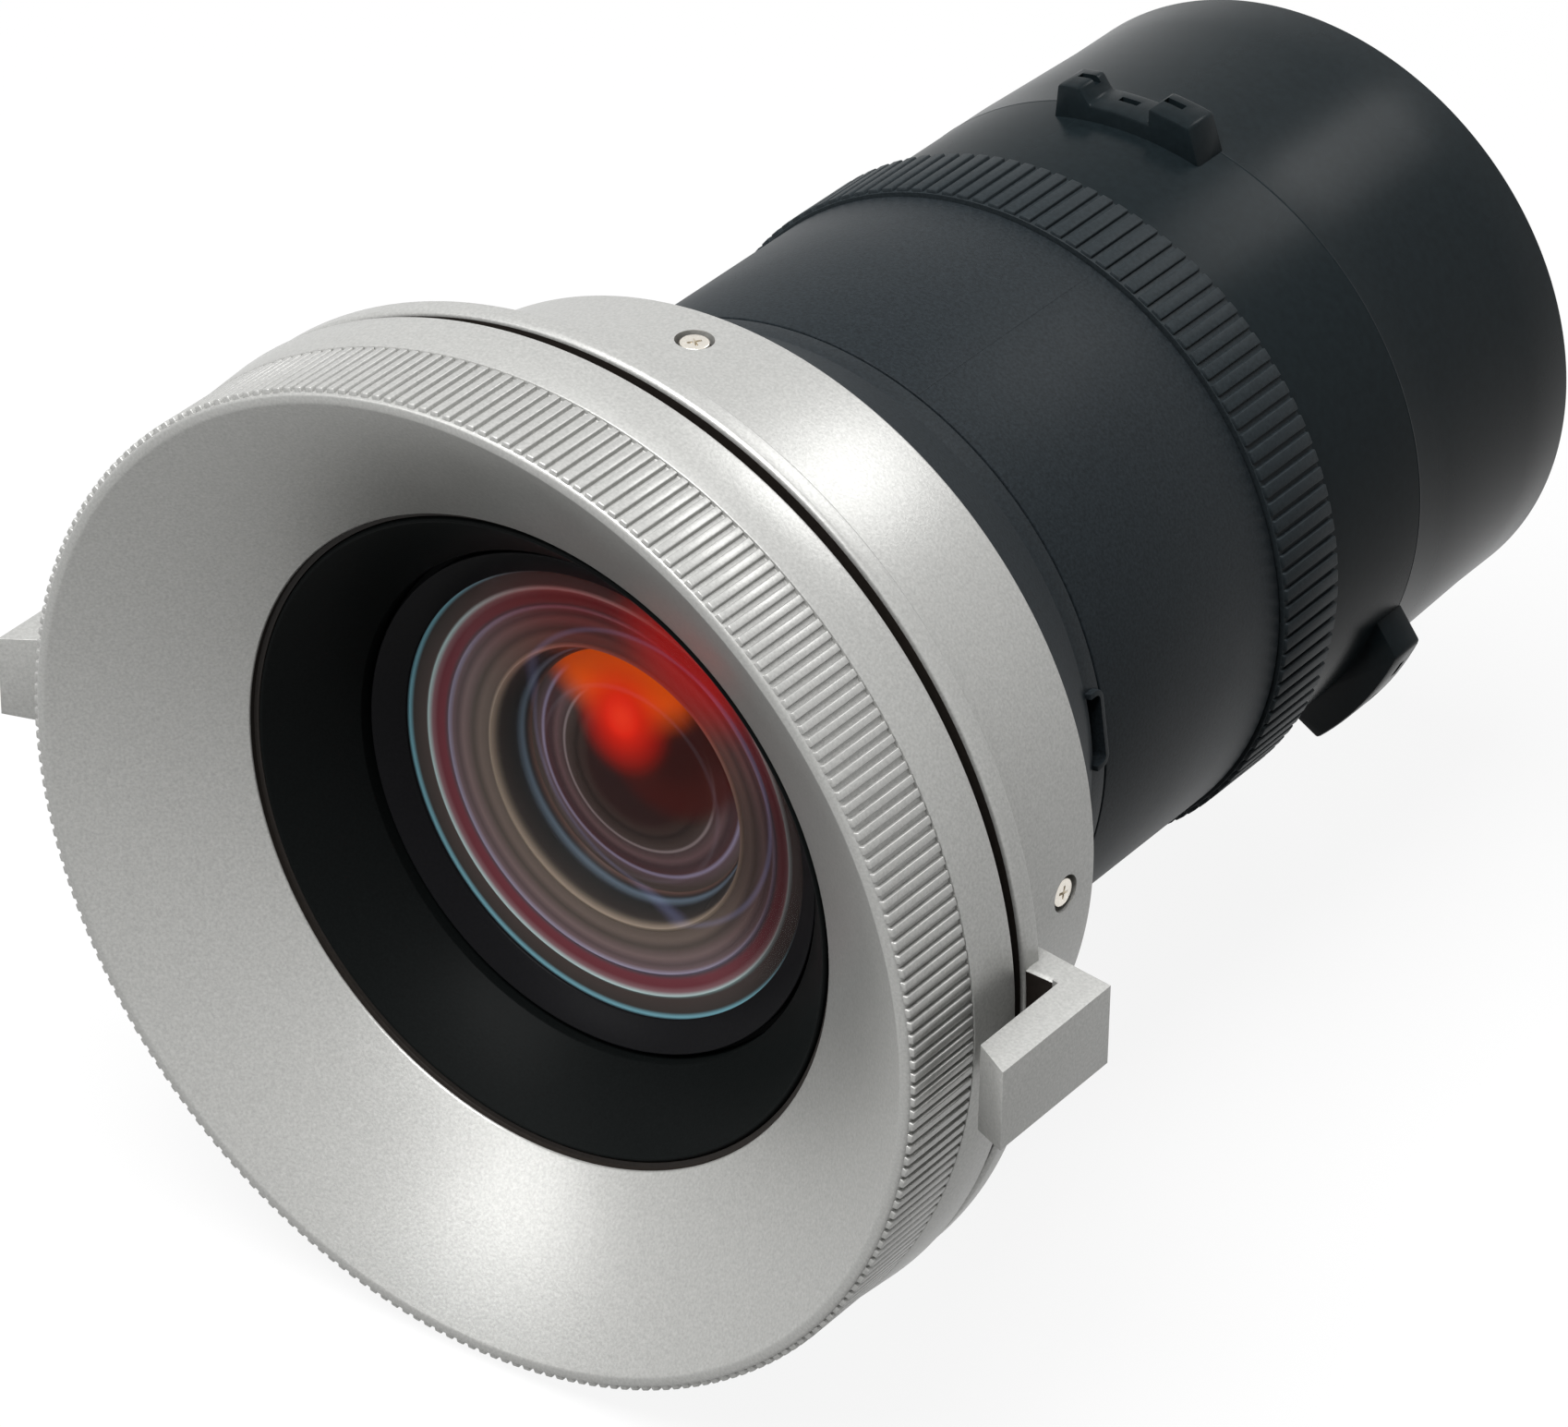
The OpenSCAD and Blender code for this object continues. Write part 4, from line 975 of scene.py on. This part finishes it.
# Rear cover with three lugs; the top one has a notch
COVER_R, COVER_BEAD = 43.3, 0.05
COVER_FRONT, TAPER_START, TAPER_END, COVER_REAR = 119.3, 147.3, 167.8, 177.3
COVER_END_R, COVER_HOLE_R = 42.75, 34.4
LUG_FRONT, LUG_DEPTH = 135.4, 5.7
LUG_R, LUG_MID_R = 47.7, 45.55
LUG_FOOT_Z, LUG_FOOT_X = 40.47, (-10.3, 12.1)
LUG_STEEP_X, LUG_LEAN_X = -9.78, 10.04
NOTCH_LEFT_X, NOTCH_TOP_LEFT_X, NOTCH_RIGHT_X = -4.9, -6.5, 3.9
POCKET_X = (-7.3, -1.1, 5.7)
POCKET_LEN, POCKET_W, POCKET_DEPTH, POCKET_PLACE = 2.8, 1.1, 1.4, 0.62
LOW_LUG_TURN = 125


def arc(radius, from_x, to_x, steps=6):
    """Points [x, z] of an arc about the axis between two places across."""
    points = []
    for step in range(steps + 1):
        x = from_x + (to_x - from_x) * step / steps
        points.append((x, math.sqrt(radius * radius - x * x)))
    return points


def make_lug(notched, side=1):
    """A lug at the top of the cover. Side -1 gives its mirror image."""
    if notched:
        top = (arc(LUG_R, LUG_STEEP_X, NOTCH_TOP_LEFT_X, 3)
               + arc(LUG_MID_R, NOTCH_LEFT_X, NOTCH_RIGHT_X)
               + arc(LUG_R, NOTCH_RIGHT_X, LUG_LEAN_X, 4))
    else:
        top = arc(LUG_R, LUG_STEEP_X, LUG_LEAN_X, 12)
    steep_foot, lean_foot = LUG_FOOT_X
    outline_points = [(steep_foot, LUG_FOOT_Z)] + top + [(lean_foot, LUG_FOOT_Z)]
    points = [(side * x * MM, place(LUG_FRONT), z * MM) for x, z in outline_points]
    lug = prism("lug", points, (0, LUG_DEPTH * MM, 0))
    recalc(lug)
    bevel(lug, 0.4)
    size = (POCKET_LEN, POCKET_W, POCKET_DEPTH * 2)
    pocket_y = LUG_FRONT + LUG_DEPTH * POCKET_PLACE
    for x in POCKET_X:
        lug_top = LUG_MID_R if notched and x == POCKET_X[1] else LUG_R
        cut_with(lug, block(size, (side * x, pocket_y, lug_top)))
    smooth(lug, 35)
    return lug


def make_rear_cover():
    cover = turned("cover_body", [
        (41.15, COVER_FRONT), (42.9, COVER_FRONT), (COVER_R, 119.7), (COVER_R, 140.25),
        (COVER_R + COVER_BEAD, 140.35), (COVER_R + COVER_BEAD, 140.45), (COVER_R, 140.55),
        (COVER_R, TAPER_START), (COVER_END_R, TAPER_END), (COVER_END_R, 176.5),
        (41.95, COVER_REAR), (COVER_HOLE_R, COVER_REAR), (COVER_HOLE_R, 175.3),
        (40.55, 175.3), (40.55, TAPER_END), (41.15, TAPER_START),
    ], rounding=0.2)
    left_lug, right_lug = make_lug(False), make_lug(False, -1)
    turn_about_axis(left_lug, LOW_LUG_TURN)
    turn_about_axis(right_lug, -LOW_LUG_TURN)
    piece = join("black_rear_cover", [cover, make_lug(True), left_lug, right_lug])
    finish_piece(piece, "barrel", COVER, "black_plastic", "rear_cover")


# Front group
def make_hood():
    piece = turned("black_hood", [
        (41.75, 14.8), (42.0, 14.8), (42.3, 15.1), (42.3, 26.8), (40.5, 26.8),
        (40.5, 19.1), (35.7, 26.0), (35.7, 32.2), (33.9, 32.2), (33.9, 24.2),
    ], rounding=0.2)
    finish_piece(piece, "front_group", MATTE, "black_matte", "front_hood")


def make_inner_ring():
    piece = turned("grey_inner_ring", [
        (29.6, 27.7), (29.75, 27.45), (33.0, 25.1), (33.2, 25.2), (33.2, 26.95),
        (31.5, 26.95), (31.5, 27.7),
    ], rounding=0.08)
    finish_piece(piece, "front_group", GREY, "dark_grey", "front_retainer")


def sag(curve, radius):
    """How far a spherical face of one radius lies back at another."""
    return curve - math.sqrt(curve * curve - radius * radius)


# Front glasses. GLASS_STEPS is the profile of the edges seen through the dome.
DOME_Y, DOME_CURVE, DOME_R, DOME_WALL = 22.07, 80, 31.5, 0.3
INNER_GLASS_R, INNER_GLASS_Y, INNER_GLASS_CURVE = 16.2, 34.9, 90
INNER_GLASS_REAR = 36.0
BOW_STEPS = 14
STEPS_WALL = (0.05, 0.9)
GLASS_STEPS = [
    (31.4, 28.6), (29.9, 28.1), (29.6, 28.15), (29.3, 28.35), (27.35, 28.7),
    (27.0, 28.45), (26.65, 28.75), (25.2, 29.1), (24.65, 29.25), (24.3, 29.05),
    (23.95, 29.35), (22.5, 29.6), (19.2, 30.2), (18.7, 30.0), (18.35, 30.7),
    (17.9, 32.0), (17.0, 33.8), (INNER_GLASS_R, INNER_GLASS_Y),
]


def bowed(radius, distance, curve):
    """Points from the axis out to a radius on a spherical face."""
    points = []
    for step in range(BOW_STEPS + 1):
        across = radius * step / BOW_STEPS
        points.append((across, distance + sag(curve, across)))
    return points


def make_front_glass():
    """The clear dome, the stepped glass edges behind it and the inner glass."""
    face = bowed(DOME_R, DOME_Y, DOME_CURVE)
    back = bowed(DOME_R, DOME_Y + DOME_WALL, DOME_CURVE)
    dome = turned_solid("dome", face + back[::-1])
    wider, deeper = STEPS_WALL
    behind = [(radius + wider, distance + deeper) for radius, distance in GLASS_STEPS[::-1]]
    edges = turned("glass_edges", GLASS_STEPS + behind)
    middle_y = INNER_GLASS_Y - sag(INNER_GLASS_CURVE, INNER_GLASS_R)
    front = bowed(INNER_GLASS_R, middle_y, INNER_GLASS_CURVE)
    rear = [(INNER_GLASS_R, INNER_GLASS_REAR), (0, INNER_GLASS_REAR)]
    inner = turned_solid("inner_glass", front + rear)
    for part, material in ((dome, DOME), (edges, EDGES), (inner, INNER_REFLECTIONS)):
        part.data.materials.clear()
        part.data.materials.append(material)
    piece = join("coated_front_glasses", [dome, edges, inner])
    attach(piece, "front_group")
    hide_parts("front_element", "second_element")


make_focus_ring()
make_lever_ring()
make_collar()
make_screws()
make_guide_ring()
make_skirt()
make_main_barrel()
make_knurled_ring()
make_rear_cover()
make_hood()
make_inner_ring()
make_front_glass()

# The pieces shown as model.glb has them only get a material.
NODE_MATERIALS = {
    "lever_pin": NICKEL, "lever_clip": NICKEL, "knurl_pin": NICKEL,
    "cam_barrel": GREY, "hood_keys": BRASS, "zoom_followers": BRASS,
    "iris_plate": MATTE, "rear_cell": MATTE, "rear_retainer": MATTE,
    "front_cell": MATTE, "second_retainer": MATTE, "zoom_cell": MATTE,
    "zoom_retainer": MATTE, "comp_cell": MATTE, "comp_retainer": MATTE,
    "relay_element": GLASS, "rear_element": GLASS, "comp_element": GLASS,
    "zoom_front_element": GLASS, "zoom_rear_element": GLASS,
}
for node_name, node_material in NODE_MATERIALS.items():
    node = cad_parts[node_name]
    node.data.materials.clear()
    node.data.materials.append(node_material)


# Studio: a floor, a pale world and three softboxes. The floor and the world
# are white to the rays that see them, and dim to the rays that light the lens.
FLOOR_Z, FLOOR_SIZE = -0.0664, 8
FLOOR_PAINT = (0.08, 0.08, 0.08, 1)
FLOOR_GLOW = 0.9
FLOOR_BOUNCE = (0.12, 0.12, 0.115, 1)
ROOM_LIGHT = (0.04, 0.041, 0.042, 1)
WHITE = (1, 1, 1, 1)


def background_rays(nodes, links):
    """One for the rays that see the white background, and nought for others."""
    rays = nodes.new("ShaderNodeLightPath")
    seen = rays.outputs["Is Camera Ray"]
    for kind in ("Is Glossy Ray", "Is Transmission Ray"):
        either = nodes.new("ShaderNodeMath")
        either.operation = "MAXIMUM"
        links.new(seen, either.inputs[0])
        links.new(rays.outputs[kind], either.inputs[1])
        seen = either.outputs[0]
    return seen


def make_floor():
    deselect()
    bpy.ops.mesh.primitive_plane_add(size=FLOOR_SIZE, location=(0, 0, FLOOR_Z))
    floor = bpy.context.object
    floor.name = "floor"
    material = bpy.data.materials.new("pale_floor")
    material.use_nodes = True
    nodes, links = material.node_tree.nodes, material.node_tree.links
    nodes.clear()
    output = nodes.new("ShaderNodeOutputMaterial")
    paint = nodes.new("ShaderNodeBsdfDiffuse")
    paint.inputs["Color"].default_value = FLOOR_PAINT
    glow = nodes.new("ShaderNodeEmission")
    glow.inputs["Color"].default_value = WHITE
    glow.inputs["Strength"].default_value = FLOOR_GLOW
    bounce = nodes.new("ShaderNodeBsdfDiffuse")
    bounce.inputs["Color"].default_value = FLOOR_BOUNCE
    both = nodes.new("ShaderNodeAddShader")
    links.new(paint.outputs[0], both.inputs[0])
    links.new(glow.outputs[0], both.inputs[1])
    choose = nodes.new("ShaderNodeMixShader")
    links.new(background_rays(nodes, links), choose.inputs[0])
    links.new(bounce.outputs[0], choose.inputs[1])
    links.new(both.outputs[0], choose.inputs[2])
    links.new(choose.outputs[0], output.inputs[0])
    floor.data.materials.append(material)


def make_world():
    world = bpy.data.worlds.new("studio")
    bpy.context.scene.world = world
    world.use_nodes = True
    nodes, links = world.node_tree.nodes, world.node_tree.links
    background = nodes["Background"]
    shade = nodes.new("ShaderNodeMix")
    shade.data_type = "RGBA"
    links.new(background_rays(nodes, links), shade.inputs[MIX_SHARE])
    shade.inputs[MIX_UNDER].default_value = ROOM_LIGHT
    shade.inputs[MIX_OVER].default_value = WHITE
    links.new(shade.outputs[MIX_RESULT], background.inputs["Color"])
    background.inputs["Strength"].default_value = 1.0


def add_softbox(name, place_at, target, width, height, power):
    light = bpy.data.lights.new(name, "AREA")
    light.shape = "RECTANGLE"
    light.size, light.size_y = width, height
    light.energy = power
    lamp = bpy.data.objects.new(name, light)
    bpy.context.scene.collection.objects.link(lamp)
    lamp.location = place_at
    aim = Vector(target) - Vector(place_at)
    lamp.rotation_euler = aim.to_track_quat("-Z", "Y").to_euler()


make_floor()
make_world()
add_softbox("top_softbox", place_at=(0, -0.5, 1.14), target=(0, -0.08, 0),
            width=0.8, height=0.8, power=24)
add_softbox("back_softbox", place_at=(0.2, 0.75, 0.78), target=(0, -0.02, 0),
            width=0.4, height=0.35, power=3)
add_softbox("front_softbox", place_at=(-0.55, -0.93, 0.5), target=(0, -0.13, 0),
            width=0.4, height=0.4, power=2.6)
